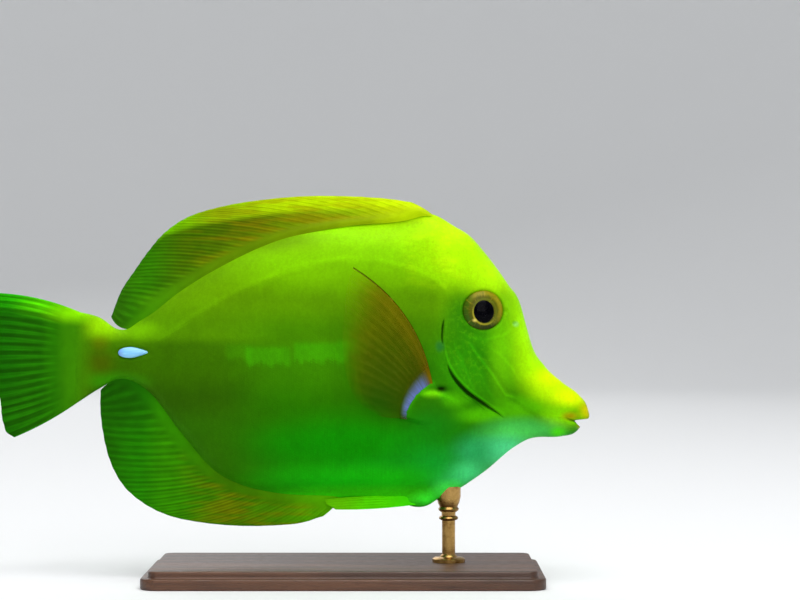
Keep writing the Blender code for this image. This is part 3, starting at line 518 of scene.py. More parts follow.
def ring_faces(first, count, second, other):
    """The faces between two rings of points, where one ring may have twice the points of the other."""
    a, b = np.arange(count), np.arange(other)
    if count == other:
        return [tuple(f) for f in np.stack(
            [first + a, first + (a + 1) % count, second + (a + 1) % count, second + a], axis=1)]
    faces = []
    if count > other:
        for k in b:
            here, there = second + k, second + (k + 1) % other
            one, two, three = first + 2 * k, first + 2 * k + 1, first + (2 * k + 2) % count
            faces += [(one, two, here), (two, there, here), (two, three, there)]
    else:
        for k in a:
            here, there = first + k, first + (k + 1) % count
            one, two, three = second + 2 * k, second + 2 * k + 1, second + (2 * k + 2) % other
            faces += [(here, two, one), (here, there, two), (there, three, two)]
    return faces


def marked(piece, name, values):
    """Gives each point of a piece one number that its material reads."""
    mark = piece.data.attributes.new(name, "FLOAT", "POINT")
    mark.data.foreach_set("value", np.asarray(values, dtype=np.float32).reshape(-1))


def mesh_piece(name, points, faces, material):
    """A mesh object from points in millimetres."""
    mesh = bpy.data.meshes.new(name)
    mesh.from_pydata((np.asarray(points) * MM).tolist(), [], faces)
    mesh.materials.append(material)
    made = bpy.data.objects.new(name, mesh)
    bpy.context.scene.collection.objects.link(made)
    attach(made, "root")
    return made


def smoothed(piece, degrees):
    """Smooth shading, except over edges sharper than so many degrees."""
    for polygon in piece.data.polygons:
        polygon.use_smooth = True
    piece.data.set_sharp_from_angle(angle=math.radians(degrees))


def closed_rings(rings):
    """The points and faces of a closed shape through rings, each end drawn together in one point."""
    points, faces, starts = [], [], []
    total = 0
    for ring in rings:
        starts.append(total)
        total += len(ring)
        points.append(ring)
    for i in range(len(rings) - 1):
        faces += ring_faces(starts[i], len(rings[i]), starts[i + 1], len(rings[i + 1]))
    tail, nose = rings[0].mean(axis=0), rings[-1].mean(axis=0)
    nose[0] = rings[-1][:, 0].max()
    points.append(np.array([tail, nose]))
    count, last = len(rings[0]), len(rings[-1])
    faces += [(starts[0] + (k + 1) % count, starts[0] + k, total) for k in range(count)]
    faces += [(starts[-1] + k, starts[-1] + (k + 1) % last, total + 1) for k in range(last)]
    return np.concatenate(points), faces


def make_skin(material):
    """One closed skin from the tail's root to the lips."""
    body, head, snout = ring_places()
    rings, marks = [], []
    for u, rows in ((body, 2), (head, 1), (snout, 2)):
        side, _, tones = skin_side(u, rows)
        rings += [full_ring(half) for half in side]
        marks += [np.concatenate([half, half[-2:0:-1]]) for half in tones]
    points, faces = closed_rings(rings)
    skin = mesh_piece("skin", points, faces, material)
    marks = np.concatenate(marks + [np.array([[1.0, 0.0], [1.0, 0.0]])])
    # The tone mark carries the skin's painted light and shade.
    marked(skin, "tone", marks[:, 0])
    marked(skin, "band", marks[:, 1])
    smoothed(skin, 70.0)
    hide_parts("trunk", "tail_stalk", "head", "upper_lip", "lower_jaw", "gill_cover_right",
                "gill_cover_left")
    return skin


# Fins in the render: how finely they are cut, and half the thickness of membrane, crest and edge.
RAY_STEPS, FIN_ROWS = 10, 60
MEMBRANE_HALF, EDGE_HALF, EDGE_NOTCH, CREST_FALL = 0.14, 0.05, 0.004, 0.4
ROOT_SUNK, LONG_FIN_SUNK = 0.9, 2.1
# The folded dorsal fin's fold, from its front end: the fin above it is painted pale as its lit side, and painted
# # darker below it as the fold's shade.
DORSAL_FOLD = (
    (24.0, 104.6), (8.0, 104.2), (-6.0, 103.8), (-20.0, 102.8), (-33.9, 100.7), (-41.4, 99.4), (-50.4, 96.8),
    (-55.0, 94.0),
)


class Fin:
    """What a fin's sheet needs: its number of rays, unbranched front rays, crests and root."""

    def __init__(self, rays, plain_rays, crest, width, root_half, branch_at=0.45, rows=FIN_ROWS,
                 plain=(1.0, 5.0), fall=(2.6, 0.6), fold=None, sunk=ROOT_SUNK, stripes=1):
        self.rays, self.plain_rays, self.crest, self.width = rays, plain_rays, crest, width
        self.root_half, self.branch_at, self.rows, self.plain, self.fall = root_half, branch_at, rows, plain, fall
        self.fold, self.sunk, self.stripes = fold, sunk, stripes


def fin_sheet(name, place, fin, material):
    """A thin closed fin: place(s, t) is its middle, with s across the rays and t from root to edge."""
    s = np.linspace(0.0, 1.0, (fin.rays - 1) * RAY_STEPS + 1)[:, None]
    reach = np.linalg.norm(place(s, np.ones((1, 1))) - place(s, np.zeros((1, 1))), axis=2)
    sunk = fin.sunk / np.maximum(reach, 4.0)
    share = np.linspace(0.0, 1.0, fin.rows)[None, :]
    t = -sunk + (1 + sunk) * (share * (1.12 - 0.12 * share))
    step = 0.004
    across = place(s + step, t) - place(s - step, t)
    out = place(s, t + step) - place(s, t - step)
    normal = np.cross(across, out)
    normal /= np.maximum(np.linalg.norm(normal, axis=2, keepdims=True), 1e-9)
    normal *= np.where(normal[:, :, 1:2] > 0, -1.0, 1.0)
    out_way = out / np.maximum(np.linalg.norm(out, axis=2, keepdims=True), 1e-9)
    spread = np.linalg.norm(np.cross(across, out_way), axis=2) / np.ptp(
        np.stack([np.clip(s + step, 0, 1), np.clip(s - step, 0, 1)]), axis=0) / (fin.rays - 1)
    phase = s * (fin.rays - 1)
    number = np.round(phase)
    apart = phase - number
    fork = 0.25 * ease(fin.branch_at, 1.0, t) * (number >= fin.plain_rays)
    width = fin.width * (1 - 0.45 * ease(0.1, 1.0, t))
    ridge = np.maximum(hill((apart - fork) * spread, 0.0, width), hill((apart + fork) * spread, 0.0, width))
    distance = t * reach
    joint = 0.5 + 0.5 * np.cos(2 * math.pi * distance / 0.8 + number * 1.7)
    ridge = ridge * (1 - 0.22 * joint * ease(0.3, 0.45, t) * (number >= fin.plain_rays))
    lined = ease(fin.plain[0], fin.plain[1], distance)
    ridge = ridge * lined
    crest = fin.crest * (1 - CREST_FALL * np.clip(t, 0, 1))
    half = MEMBRANE_HALF + crest * ridge
    root = fin.root_half(s) + 0.0 * t
    half = root + (half - root) * ease(-0.2, fin.fall[0], distance) ** fin.fall[1]
    rim = ease(1.0, 0.975, t)
    half = EDGE_HALF + (half - EDGE_HALF) * rim
    middle = place(s, t)
    notch = EDGE_NOTCH * (1 - hill(apart, 0.0, 0.3)) * ease(0.9, 1.0, t)
    middle = middle - (place(s, np.ones((1, 1))) - place(s, np.zeros((1, 1)))) * notch[:, :, None]
    right, left = middle + normal * half[:, :, None], middle - normal * half[:, :, None]
    high = fin.rows
    count = len(s) * high
    index = np.arange(count).reshape(len(s), high)
    a, b, c, d = index[:-1, :-1], index[1:, :-1], index[1:, 1:], index[:-1, 1:]
    faces = [tuple(f) for f in np.stack([a, b, c, d], axis=2).reshape(-1, 4)]
    faces += [tuple(f) for f in (np.stack([a, d, c, b], axis=2) + count).reshape(-1, 4)]
    rim_way = np.concatenate([index[:, 0], index[-1, 1:], index[-2::-1, -1], index[0, -2:0:-1]])
    after = np.roll(rim_way, -1)
    faces += [tuple(f) for f in np.stack([rim_way, rim_way + count, after + count, after], axis=1)]
    made = mesh_piece(name, np.concatenate([right.reshape(-1, 3), left.reshape(-1, 3)]), faces, material)
    shape = bmesh.new()
    shape.from_mesh(made.data)
    bmesh.ops.recalc_face_normals(shape, faces=shape.faces)
    shape.to_mesh(made.data)
    shape.free()
    fold = 0.0 * t if fin.fold is None else fin.fold(middle[:, :, 0], middle[:, :, 2])
    stripe = lined * (0.5 + 0.5 * np.cos(2 * math.pi * fin.stripes * phase))
    marks = (("ray", ridge), ("lined", lined), ("out", t), ("across", s + 0.0 * t), ("fold", fold + 0.0 * s),
             ("stripe", stripe))
    for label, values in marks:
        marked(made, label, np.tile(values.reshape(-1), 2))
    smoothed(made, 60.0)
    return made


def root_swell(s, keel):
    """Half a long fin's thickness at its root, which swells out of the body's keel and thins at its ends."""
    return keel * (0.55 + 0.5 * ease(0.0, 0.07, s) * ease(1.0, 0.93, s))


def last_ray(s):
    """How much a place belongs to a fin's last ray, from 0 to 1."""
    return ease(0.93, 1.0, s)


def bowed(base_x, base_z, tip_x, tip_z, bow, t):
    """Points on rays in the side view; bow is how far a ray bends to its left, as a share of its length."""
    run_x, run_z = tip_x - base_x, tip_z - base_z
    lift = bow * 4 * t * (1 - t)
    return base_x + run_x * t - run_z * lift, base_z + run_z * t + run_x * lift


def waved(wave, s, t):
    """How far a fin leans sideways at a place on it."""
    swing, halves, start = wave
    return swing * t * t * np.sin(math.pi * (halves * s + start))


def make_dorsal_fin(material):
    """The long fin along the back, folded most of the way down."""
    base_x, tip_x, tip_z = (smooth_line(DORSAL, column) for column in (1, 2, 3))

    def place(s, t):
        s = np.clip(s, 0.0, 1.0)
        x = base_x(s)
        x, z = bowed(x, back(x) - 0.3, tip_x(s), tip_z(s), DORSAL_BOW + DORSAL_END_BOW * last_ray(s), t)
        return np.stack([x, waved(DORSAL_WAVE, s, t), z], axis=2)

    def above_fold(x, z):
        away, _ = beside(x, z, DORSAL_FOLD)
        return ease(-1.2, 0.9, away)

    fin = Fin(29, 4, 0.13, 0.36, lambda s: root_swell(s, back_keel_half(base_x(s))), fall=(6.0, 0.9),
              fold=above_fold, sunk=LONG_FIN_SUNK, stripes=2)
    fin_piece = fin_sheet("dorsal_fin_rays", place, fin, material)
    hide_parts("dorsal_fin")


def make_anal_fin(material):
    """The long fin under the tail half of the belly, spread further than the dorsal fin."""
    base_x, tip_x, tip_z = (smooth_line(ANAL, column) for column in (1, 2, 3))

    def place(s, t):
        s = np.clip(s, 0.0, 1.0)
        x = base_x(s)
        x, z = bowed(x, belly(x) + 0.3, tip_x(s), tip_z(s), ANAL_BOW + ANAL_END_BOW * last_ray(s), t)
        return np.stack([x, waved(ANAL_WAVE, s, t), z], axis=2)

    fin = Fin(23, 3, 0.15, 0.36, lambda s: root_swell(s, belly_keel_half(base_x(s))), fall=(6.0, 0.9),
              sunk=LONG_FIN_SUNK, stripes=2)
    fin_piece = fin_sheet("anal_fin_rays", place, fin, material)
    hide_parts("anal_fin")


def make_caudal_fin(material):
    """The tail fin, nearly straight along its rear edge."""
    base_z, tip_x, tip_z, bow = (smooth_line(CAUDAL, column) for column in (1, 2, 3, 4))

    def place(s, t):
        s = np.clip(s, 0.0, 1.0)
        x, z = bowed(TAIL_END + 0.6 + 0.0 * s, base_z(s), tip_x(s), tip_z(s), bow(s), t)
        return np.stack([x, waved(CAUDAL_WAVE, s, t), z], axis=2)

    def root_half(s):
        return 0.8 + 0.62 * np.sqrt(4 * s * (1 - s))

    fin = Fin(18, 1, 0.16, 0.34, root_half, 0.3, plain=(3.0, 14.0), fall=(10.0, 1.0))
    fin_piece = fin_sheet("caudal_fin_rays", place, fin, material)
    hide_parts("caudal_fin")


def make_pectoral_fin(label, side, material):
    """One pectoral fin, raised and spread off the flank."""
    base_x, base_z, tip_x, tip_z = (smooth_line(PECTORAL, column) for column in (1, 2, 3, 4))
    first = np.array([base_x(0.0), base_z(0.0)])
    axis = np.array([base_x(1.0), base_z(1.0)]) - first
    axis = axis / np.linalg.norm(axis)

    def place(s, t):
        s = np.clip(s, 0.0, 1.0)
        root_x, root_z = base_x(s), base_z(s)
        x, z = bowed(root_x, root_z, tip_x(s), tip_z(s), PECTORAL_BOW * (1 - s), t)
        reach = (x - root_x) * axis[1] - (z - root_z) * axis[0]
        reach = np.abs(reach) * np.sign(t + 1e-6)
        out = flank(root_x, root_z) + PECTORAL_OFF + PECTORAL_SPREAD * reach - PECTORAL_CUP * reach * reach
        return np.stack([x, side * out, z], axis=2)

    fin = Fin(15, 1, 0.13, 0.3, lambda s: 0.62 + 0.0 * s, 0.4, 54)
    fin_piece = fin_sheet("pectoral_fin_rays_" + label, place, fin, material)
    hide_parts("pectoral_fin_" + label)


def make_pelvic_fin(label, side, material):
    """One pelvic fin, folded back against the belly."""
    base_x, base_z, tip_x, tip_z = (smooth_line(PELVIC, column) for column in (1, 2, 3, 4))

    def place(s, t):
        s = np.clip(s, 0.0, 1.0)
        x, z = bowed(base_x(s), base_z(s), tip_x(s), tip_z(s), PELVIC_BOW * (1 - 2 * s), t)
        out = PELVIC_TIP_Y + (PELVIC_ROOT_Y - PELVIC_TIP_Y) * (1 - np.clip(t, 0, 1)) ** 3 + 0.0 * x
        return np.stack([x, side * out, z], axis=2)

    fin = Fin(6, 1, 0.13, 0.3, lambda s: 0.6 + 0.0 * s, 0.35, 48, plain=(3.0, 9.0), fall=(9.0, 0.9))
    fin_piece = fin_sheet("pelvic_fin_rays_" + label, place, fin, material)
    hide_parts("pelvic_fin_" + label)


# Scales: their spacing along and across the body, how high the free edge stands and how far they vary.
SCALE_ALONG, SCALE_ACROSS, SCALE_LIFT, SCALE_DEEP = 0.66, 0.74, 0.045, 0.1
SCALE_SEED = 7
PATCH = 0.003


def make_coat(label, side, material):
    """The scales of one flank, each a low closed wedge whose free tip points to the tail."""
    draw = np.random.default_rng(SCALE_SEED)
    places = np.arange(-73.5, 27.0, SCALE_ALONG)
    points, normals, marks = skin_side(places, 2)
    corners, ups, ways, roots, tones = [], [], [], [], []
    for i in range(1, len(places) - 1):
        ring = points[i]
        way = np.concatenate([[0.0], np.cumsum(np.linalg.norm(np.diff(ring, axis=0), axis=1))])
        middle = np.interp(widest_at(places[i]), ring[::-1, 2], way[::-1])
        low, high = np.ceil((1.6 - middle) / SCALE_ACROSS), np.floor((way[-1] - 1.4 - middle) / SCALE_ACROSS)
        at = middle + (np.arange(low, high) + 0.5 * (i % 2)) * SCALE_ACROSS
        at = at + draw.normal(0.0, 0.03, len(at))
        grab = [np.stack([np.interp(at, way, grid[i + k, :, c]) for c in range(3)], axis=1)
                for grid, k in ((points, 0), (normals, 0), (points, -1), (points, 1))]
        here, up, rear, front = grab
        along = (rear - front) / np.maximum(np.linalg.norm(rear - front, axis=1, keepdims=True), 1e-9)
        corners.append(here)
        ups.append(up / np.linalg.norm(up, axis=1, keepdims=True))
        ways.append(along)
        roots.append(np.stack([np.full(len(at), (places[i] + 80.0) / 120.0), at / 100.0], axis=1))
        tones.append(np.stack([np.interp(at, way, marks[i, :, c]) for c in range(2)], axis=1))
    here, up, along, root, tone = (np.concatenate(part) for part in (corners, ups, ways, roots, tones))
    x, z = here[:, 0], here[:, 2]
    _, rim = lobe_height(x, z)
    spine = np.hypot((x - TAIL_SPINE_AT[0]) / 6.2, (z - TAIL_SPINE_AT[1]) / 2.6)
    hollow = np.hypot((x - AXIL_AT[0]) / AXIL_REACH[0], (z - AXIL_AT[1]) / AXIL_REACH[1])
    lobe = (rim > -0.9) & (rim < 5.5) & (z > 44.0) & (z < 58.0)
    keep = ~lobe & (spine > 1.0) & (hollow > 1.6) & (x < gill_edge(z) - 1.9)
    here, up, along, root, tone = (part[keep] for part in (here, up, along, root, tone))
    across = np.cross(up, along)
    size = (1 + draw.normal(0.0, 0.06, len(here)))[:, None]
    long_half, wide_half = SCALE_ALONG * 0.98 * size, SCALE_ACROSS * 0.56 * size
    front = here - along * long_half - up * 0.05
    tip = here + along * long_half * 1.05 + up * SCALE_LIFT
    one, two = here + across * wide_half + up * 0.004, here - across * wide_half + up * 0.004
    under = here - up * SCALE_DEEP
    five = np.stack([front, one, tip, two, under], axis=1)
    if side == LEFT:
        five = five * np.array([1.0, -1.0, 1.0])
    base = np.arange(len(here))[:, None] * 5
    pattern = [(0, 1, 2), (0, 2, 3), (0, 4, 1), (1, 4, 2), (2, 4, 3), (3, 4, 0)]
    if side == RIGHT:
        pattern = [tuple(reversed(face)) for face in pattern]
    faces = (base[:, :, None] + np.array(pattern)[None, :, :]).reshape(-1, 3)
    coat = mesh_piece("scales_" + label, five.reshape(-1, 3), faces.tolist(), material)
    # The scales carry the skin's painted light and shade in their tone mark, and the band.
    marked(coat, "tone", np.repeat(tone[:, 0], 5))
    marked(coat, "band", np.repeat(tone[:, 1], 5))
    unwrap = coat.data.uv_layers.new(name="OFBake")
    spot = np.array([(0.0, 0.5), (0.5, 1.0), (1.0, 0.5), (0.5, 0.0), (0.5, 0.5)]) * PATCH - PATCH / 2
    uv = (root[:, None, :] + spot[None, :, :])[:, np.array(pattern).reshape(-1), :]
    unwrap.uv.foreach_set("vector", uv.reshape(-1).astype(np.float32))
    return coat


def colour_of(red, green, blue):
    """A display colour from 0 to 255 as the linear colour that a shader takes."""
    made = []
    for value in (red, green, blue):
        share = value / 255.0
        made.append(share / 12.92 if share <= 0.04045 else ((share + 0.055) / 1.055) ** 2.4)
    return (*made, 1.0)


class Nodes:
    """A small helper that adds and joins shader nodes."""

    def __init__(self, tree):
        self.tree = tree

    def add(self, kind, **inputs):
        node = self.tree.nodes.new(kind)
        for name, value in inputs.items():
            self.put(node.inputs[name.replace("_", " ")], value)
        return node

    def put(self, socket, value):
        if isinstance(value, bpy.types.NodeSocket):
            self.tree.links.new(value, socket)
        else:
            socket.default_value = value

    def maths(self, operation, *values):
        node = self.tree.nodes.new("ShaderNodeMath")
        node.operation = operation
        for socket, value in zip(node.inputs, values):
            self.put(socket, value)
        return node.outputs[0]

    def vector(self, operation, *values):
        node = self.tree.nodes.new("ShaderNodeVectorMath")
        node.operation = operation
        for socket, value in zip(node.inputs, values):
            self.put(socket, value)
        return node.outputs["Value"] if operation in ("LENGTH", "DOT_PRODUCT") else node.outputs["Vector"]

    def toned(self, colour, share):
        """A colour made lighter or darker by one number."""
        node = self.tree.nodes.new("ShaderNodeVectorMath")
        node.operation = "SCALE"
        self.put(node.inputs[0], colour)
        self.put(node.inputs["Scale"], share)
        return node.outputs["Vector"]

    def mix(self, share, first, second, blend="MIX"):
        node = self.tree.nodes.new("ShaderNodeMix")
        node.data_type = "RGBA"
        node.blend_type = blend
        self.put(node.inputs[0], share)
        self.put(node.inputs[6], first)
        self.put(node.inputs[7], second)
        return node.outputs[2]

    def ramp(self, value, low, high, to_low=0.0, to_high=1.0):
        node = self.tree.nodes.new("ShaderNodeMapRange")
        node.interpolation_type = "SMOOTHSTEP"
        for name, put in (("Value", value), ("From Min", low), ("From Max", high), ("To Min", to_low),
                          ("To Max", to_high)):
            self.put(node.inputs[name], put)
        return node.outputs["Result"]

    def attribute(self, name):
        node = self.add("ShaderNodeAttribute")
        node.attribute_name = name
        return node.outputs["Fac"]

    def parts(self, vector):
        node = self.add("ShaderNodeSeparateXYZ", Vector=vector)
        return node.outputs

    def palette(self, value, stops):
        """The colour at a value on a line of colours, each given with the value that it belongs to."""
        low, high = stops[0][0], stops[-1][0]
        node = self.tree.nodes.new("ShaderNodeValToRGB")
        node.color_ramp.interpolation = "EASE"
        spots = node.color_ramp.elements
        while len(spots) < len(stops):
            spots.new(1.0)
        for spot, (at, tone) in zip(spots, stops):
            spot.position = (at - low) / (high - low)
            spot.color = colour_of(*tone)
        share = self.maths("DIVIDE", self.maths("SUBTRACT", value, low), high - low)
        self.put(node.inputs[0], share)
        return node.outputs[0]

    def noise(self, place, scale, detail=3.0, rough=0.55):
        node = self.add("ShaderNodeTexNoise", Vector=place, Scale=scale, Detail=detail, Roughness=rough)
        return node.outputs["Fac"]


# The skin's colours, with painted light and shade among them. The flank's ground colour changes with height, in
# # front and behind: lighter towards the back as painted light from above, darker lower down as painted shade.
# # Then each soft patch has its name, colour, middle, reach along and up, how soft its rim is and how strong it is.
FLANK_COLOUR_AND_SHADE = (
    (24.0, (36, 150, 10)), (38.0, (18, 130, 2)), (47.0, (37, 117, 0)), (60.0, (59, 133, 2)),
    (69.0, (70, 136, 2)), (78.0, (93, 152, 2)), (87.0, (128, 201, 2)), (103.0, (160, 238, 2)),
)
REAR_COLOUR_AND_SHADE = (
    (24.0, (50, 118, 4)), (42.0, (45, 108, 3)), (51.0, (45, 94, 2)), (60.0, (56, 109, 1)),
    (65.0, (62, 116, 2)), (69.0, (88, 148, 3)), (82.5, (104, 160, 2)), (95.0, (120, 180, 2)),
)
REAR_FROM, TAIL_BLEND = (-14.0, -38.0), (-68.5, -75.2)
BODY_PATCHES = (
    # Painted shadow under the dorsal fin and in the fold at the crest; painted light from above over the nape, its
    # crest and the head's crest.
    ("shadow under the dorsal fin", (99, 140, 1), (-20.0, 95.0), (16.0, 4.0), 0.8, 0.7),
    ("nape", (170, 234, 2), (33.0, 93.0), (15.0, 11.0), 0.9, 1.0),
    ("nape crest", (160, 226, 2), (16.0, 98.6), (14.0, 5.0), 0.9, 0.9),
    ("crest", (142, 172, 3), (6.0, 101.0), (20.0, 1.9), 0.9, 0.85),
    ("head crest", (200, 248, 3), (31.0, 99.0), (11.0, 5.0), 0.9, 0.7),
    ("behind the gill", (42, 128, 4), (24.0, 58.0), (9.0, 9.0), 0.9, 0.8),
    ("cheek", (44, 140, 4), (35.0, 62.0), (9.5, 15.0), 0.8, 1.0),
    ("under the eye", (56, 150, 5), (40.0, 68.0), (4.5, 3.0), 0.9, 0.8),
    # Painted shade round the eye's rear.
    ("round the eye", (44, 124, 5), (32.4, 73.8), (4.8, 7.0), 0.9, 0.85),
    ("face", (104, 192, 5), (44.0, 65.0), (4.2, 13.0), 0.9, 1.0),
    # Painted light from above over the forehead, and painted highlights before the eye, along the head's front edge
    # and the snout's ridge.
    ("forehead", (178, 244, 8), (43.0, 87.0), (10.0, 8.0), 0.9, 1.0),
    ("before the eye", (126, 196, 8), (43.6, 77.0), (2.6, 4.0), 0.9, 0.8),
    ("forehead edge", (164, 244, 8), (51.0, 73.0), (5.4, 15.0), 0.9, 1.0),
    ("snout", (172, 246, 3), (54.0, 60.5), (6.5, 10.0), 0.9, 1.0),
    ("snout end", (200, 253, 3), (61.0, 51.6), (8.5, 4.4), 0.8, 1.0),
    ("snout ridge", (222, 252, 3), (58.0, 56.5), (6.5, 3.2), 0.9, 0.85),
    ("snout gold", (222, 240, 3), (62.8, 51.2), (4.6, 2.6), 0.9, 0.9),
    ("lip gold", (226, 206, 4), (67.4, 47.2), (2.4, 2.4), 0.9, 0.8),
    ("jaw", (84, 184, 4), (50.0, 48.0), (10.0, 4.0), 0.9, 0.9),
    ("chin", (128, 214, 3), (60.5, 45.6), (6.5, 3.6), 0.9, 1.0),
    # Painted highlights on the lobe's top, under the gill and below the slit.
    ("lobe top", (112, 204, 6), (24.4, 52.4), (2.8, 1.4), 0.9, 0.6),
    ("under the gill", (84, 196, 4), (38.5, 46.4), (8.0, 2.4), 0.9, 0.9),
    ("below the slit", (80, 186, 5), (30.6, 50.6), (4.2, 2.4), 0.9, 0.8),
    # Painted reflection of light from below: the mint on the throat and chest, and the lighter foot and edges of the
    # breast, chest and belly.
    ("throat", (76, 206, 84), (49.0, 41.5), (12.0, 4.0), 0.8, 1.0),
    ("throat foot", (84, 232, 146), (44.0, 36.0), (9.0, 4.6), 0.8, 1.0),
    ("chest", (40, 168, 90), (35.5, 36.0), (7.0, 5.0), 0.9, 1.0),
    ("chest foot", (74, 226, 132), (33.0, 29.5), (9.0, 4.0), 0.8, 1.0),
    ("breast", (14, 130, 16), (24.0, 42.0), (9.0, 7.0), 0.9, 0.9),
    ("breast foot", (8, 160, 50), (24.5, 32.5), (7.5, 5.5), 0.9, 0.9),
    ("belly front", (4, 166, 36), (13.0, 34.0), (15.0, 7.0), 0.9, 0.75),
    ("belly", (4, 148, 3), (2.0, 38.0), (23.0, 9.5), 0.9, 1.0),
    ("belly foot", (20, 196, 14), (4.0, 28.5), (26.0, 4.6), 0.9, 1.0),
    ("belly edge", (66, 238, 18), (6.0, 23.0), (27.0, 3.4), 0.9, 1.0),
    ("chest edge", (62, 255, 52), (24.5, 22.4), (5.8, 3.0), 0.9, 1.0),
    ("breast edge", (74, 255, 84), (29.4, 25.4), (5.0, 2.8), 0.9, 0.9),
    # Painted light from above along the stalk's top.
    ("stalk top", (157, 227, 5), (-68.0, 71.5), (9.0, 4.0), 0.9, 0.9),
    ("before the stalk", (118, 190, 4), (-57.0, 69.8), (6.0, 2.8), 0.9, 0.8),
    ("stalk foot", (54, 146, 5), (-65.0, 55.6), (10.0, 2.8), 0.9, 0.9),
    # Two darker patches on the stalk.
    ("stalk dark patch", (78, 84, 2), (-68.2, 61.0), (4.2, 3.6), 0.9, 0.6),
    ("stalk dark patch above", (104, 108, 2), (-68.4, 66.4), (3.0, 2.4), 0.9, 0.5),
    # A brownish tint in the mouth's corner, partly painted shade in its fold.
    ("mouth corner", (156, 126, 4), (62.8, 46.0), (2.6, 1.3), 0.9, 0.8),
    ("lower lip", (190, 170, 6), (66.0, 43.2), (1.3, 1.0), 0.9, 0.6),
    ("chin spot", (80, 236, 5), (59.5, 41.4), (2.4, 1.6), 0.9, 0.8),
    ("nostril rim", (150, 232, 130), (47.6, 71.6), (0.9, 0.8), 0.8, 0.5),
    ("slit teal", (20, 110, 60), (26.4, 65.5), (1.3, 1.6), 0.8, 0.5),
)
BAND_TONE = (66, 160, 5)
# The pale mottling round the eye: its middle, one over its reach along each axis, and its colour.
MOTTLE_AT, MOTTLE_REACH, MOTTLE_TONE = (37.0, 0.0, 68.0), (0.07, 0.0, 0.055), (118, 206, 12)
NAPE_STREAKS, NAPE_TONE = (0.12, 0.1, 0.3), (206, 252, 12)
# What the membrane between the rays and the rays themselves are multiplied by.
FIN_CONTRAST, TAIL_CONTRAST, PECTORAL_CONTRAST = (0.74, 1.16), (0.72, 1.4), (0.88, 1.13)
FIN_LINES, FIN_CALM, RAY_SHARE = 75.0, (-4.0, -44.0, 0.3, 1.0), 0.3
FIN_BROWN, BROWN_FROM, DORSAL_BROWN_TO, ANAL_BROWN_TO = (150, 122, 3), (-50.0, -30.0), (24.0, 0.0), (-3.0, -14.0)
BROWN_STREAKS = (0.07, 0.0, 0.5)
PECTORAL_GROUND = ((0.0, (70, 74, 0)), (0.4, (92, 94, 0)), (1.0, (112, 114, 0)))
PECTORAL_FRONT, PECTORAL_FRONT_EDGE, PECTORAL_ARC = (136, 98, 4), (30, 34, 2), (104, 122, 190)
PECTORAL_GLINTS = (190, 176, 60)
PECTORAL_PATCHES = (
    ("lower half", (52, 92, 4), (9.0, 56.0), (11.0, 11.0), 0.9, 0.6),
    ("foot", (20, 92, 4), (8.0, 48.0), (10.0, 7.0), 0.9, 0.8),
)
# The dorsal fin's colours along the fish: below its fold in painted shade, above it in painted light from above.
DORSAL_BELOW = (
    (-66.0, (42, 103, 7)), (-56.0, (48, 122, 3)), (-45.0, (66, 108, 2)), (-25.0, (90, 112, 4)),
    (-13.0, (118, 141, 4)), (0.0, (149, 184, 8)), (14.0, (196, 215, 5)),
)
DORSAL_ABOVE = (
    (-58.0, (60, 128, 3)), (-50.0, (112, 191, 2)), (-35.0, (143, 188, 6)), (-14.0, (181, 219, 2)),
    (14.0, (201, 236, 4)),
)
ANAL_TONES = (
    (-68.0, (24, 100, 3)), (-58.0, (30, 124, 3)), (-49.0, (50, 138, 2)), (-32.0, (66, 128, 3)),
    (-20.0, (78, 146, 4)), (-9.0, (92, 186, 5)), (-2.0, (104, 206, 5)), (8.0, (90, 236, 5)),
    (20.0, (66, 244, 8)),
)
ANAL_PATCHES = (("anal top", (20, 88, 3), (-61.0, 51.0), (7.0, 9.0), 0.9, 0.8),)
CAUDAL_TONES = (
    (-97.0, (13, 88, 3)), (-86.0, (24, 98, 3)), (-82.0, (36, 116, 3)), (-77.0, (56, 130, 4)),
    (-68.0, (78, 126, 3)),
)
DORSAL_ROOT = (
    (-58.0, (64, 136, 4)), (-30.0, (92, 130, 3)), (-8.0, (114, 142, 3)), (5.0, (134, 160, 3)), (18.0, (172, 204, 4)),
)
# Painted reflection as a gold glint at the iris's lower left, and painted shade along the eye's lower rim.
IRIS_PATCHES = (
    ("gold glint", (232, 214, 96), (36.1, 72.7), (0.75, 0.5), 0.9, 0.9),
    ("shade along the lower rim", (34, 40, 2), (40.4, 70.6), (3.6, 0.9), 0.9, 0.8),
)
DORSAL_PATCHES = (("dorsal root behind", (80, 145, 4), (-52.0, 77.5), (6.0, 4.0), 0.9, 0.6),)
# The tail is painted lighter along its top edge as light from above, and darker at its foot as shade.
CAUDAL_PATCHES = (
    ("tail top", (34, 170, 4), (-91.0, 80.4), (13.0, 4.6), 0.9, 0.95),
    ("tail top middle", (84, 206, 4), (-82.5, 77.0), (9.0, 3.2), 0.9, 0.9),
    ("tail top root", (140, 234, 4), (-73.0, 74.8), (10.0, 3.0), 0.9, 0.95),
    ("tail foot", (26, 98, 3), (-88.0, 48.0), (12.0, 8.0), 0.9, 0.6),
)


def patched(nodes, place, colour, patches):
    """The colour of a surface from its ground colour and the soft patches over it."""
    for _, tone, middle, reach, soft, strength in patches:
        off = nodes.vector("SUBTRACT", place, (middle[0], 0.0, middle[1]))
        off = nodes.vector("MULTIPLY", off, (1.0 / reach[0], 0.0, 1.0 / reach[1]))
        share = nodes.ramp(nodes.vector("LENGTH", off), 1.0 + soft / 2, 1.0 - soft, 0.0, strength)
        colour = nodes.mix(share, colour, colour_of(*tone))
    return colour


def in_millimetres(nodes):
    """Object coordinates in millimetres."""
    place = nodes.tree.nodes.new("ShaderNodeTexCoord").outputs["Object"]
    return nodes.vector("MULTIPLY", place, (1000.0, 1000.0, 1000.0))


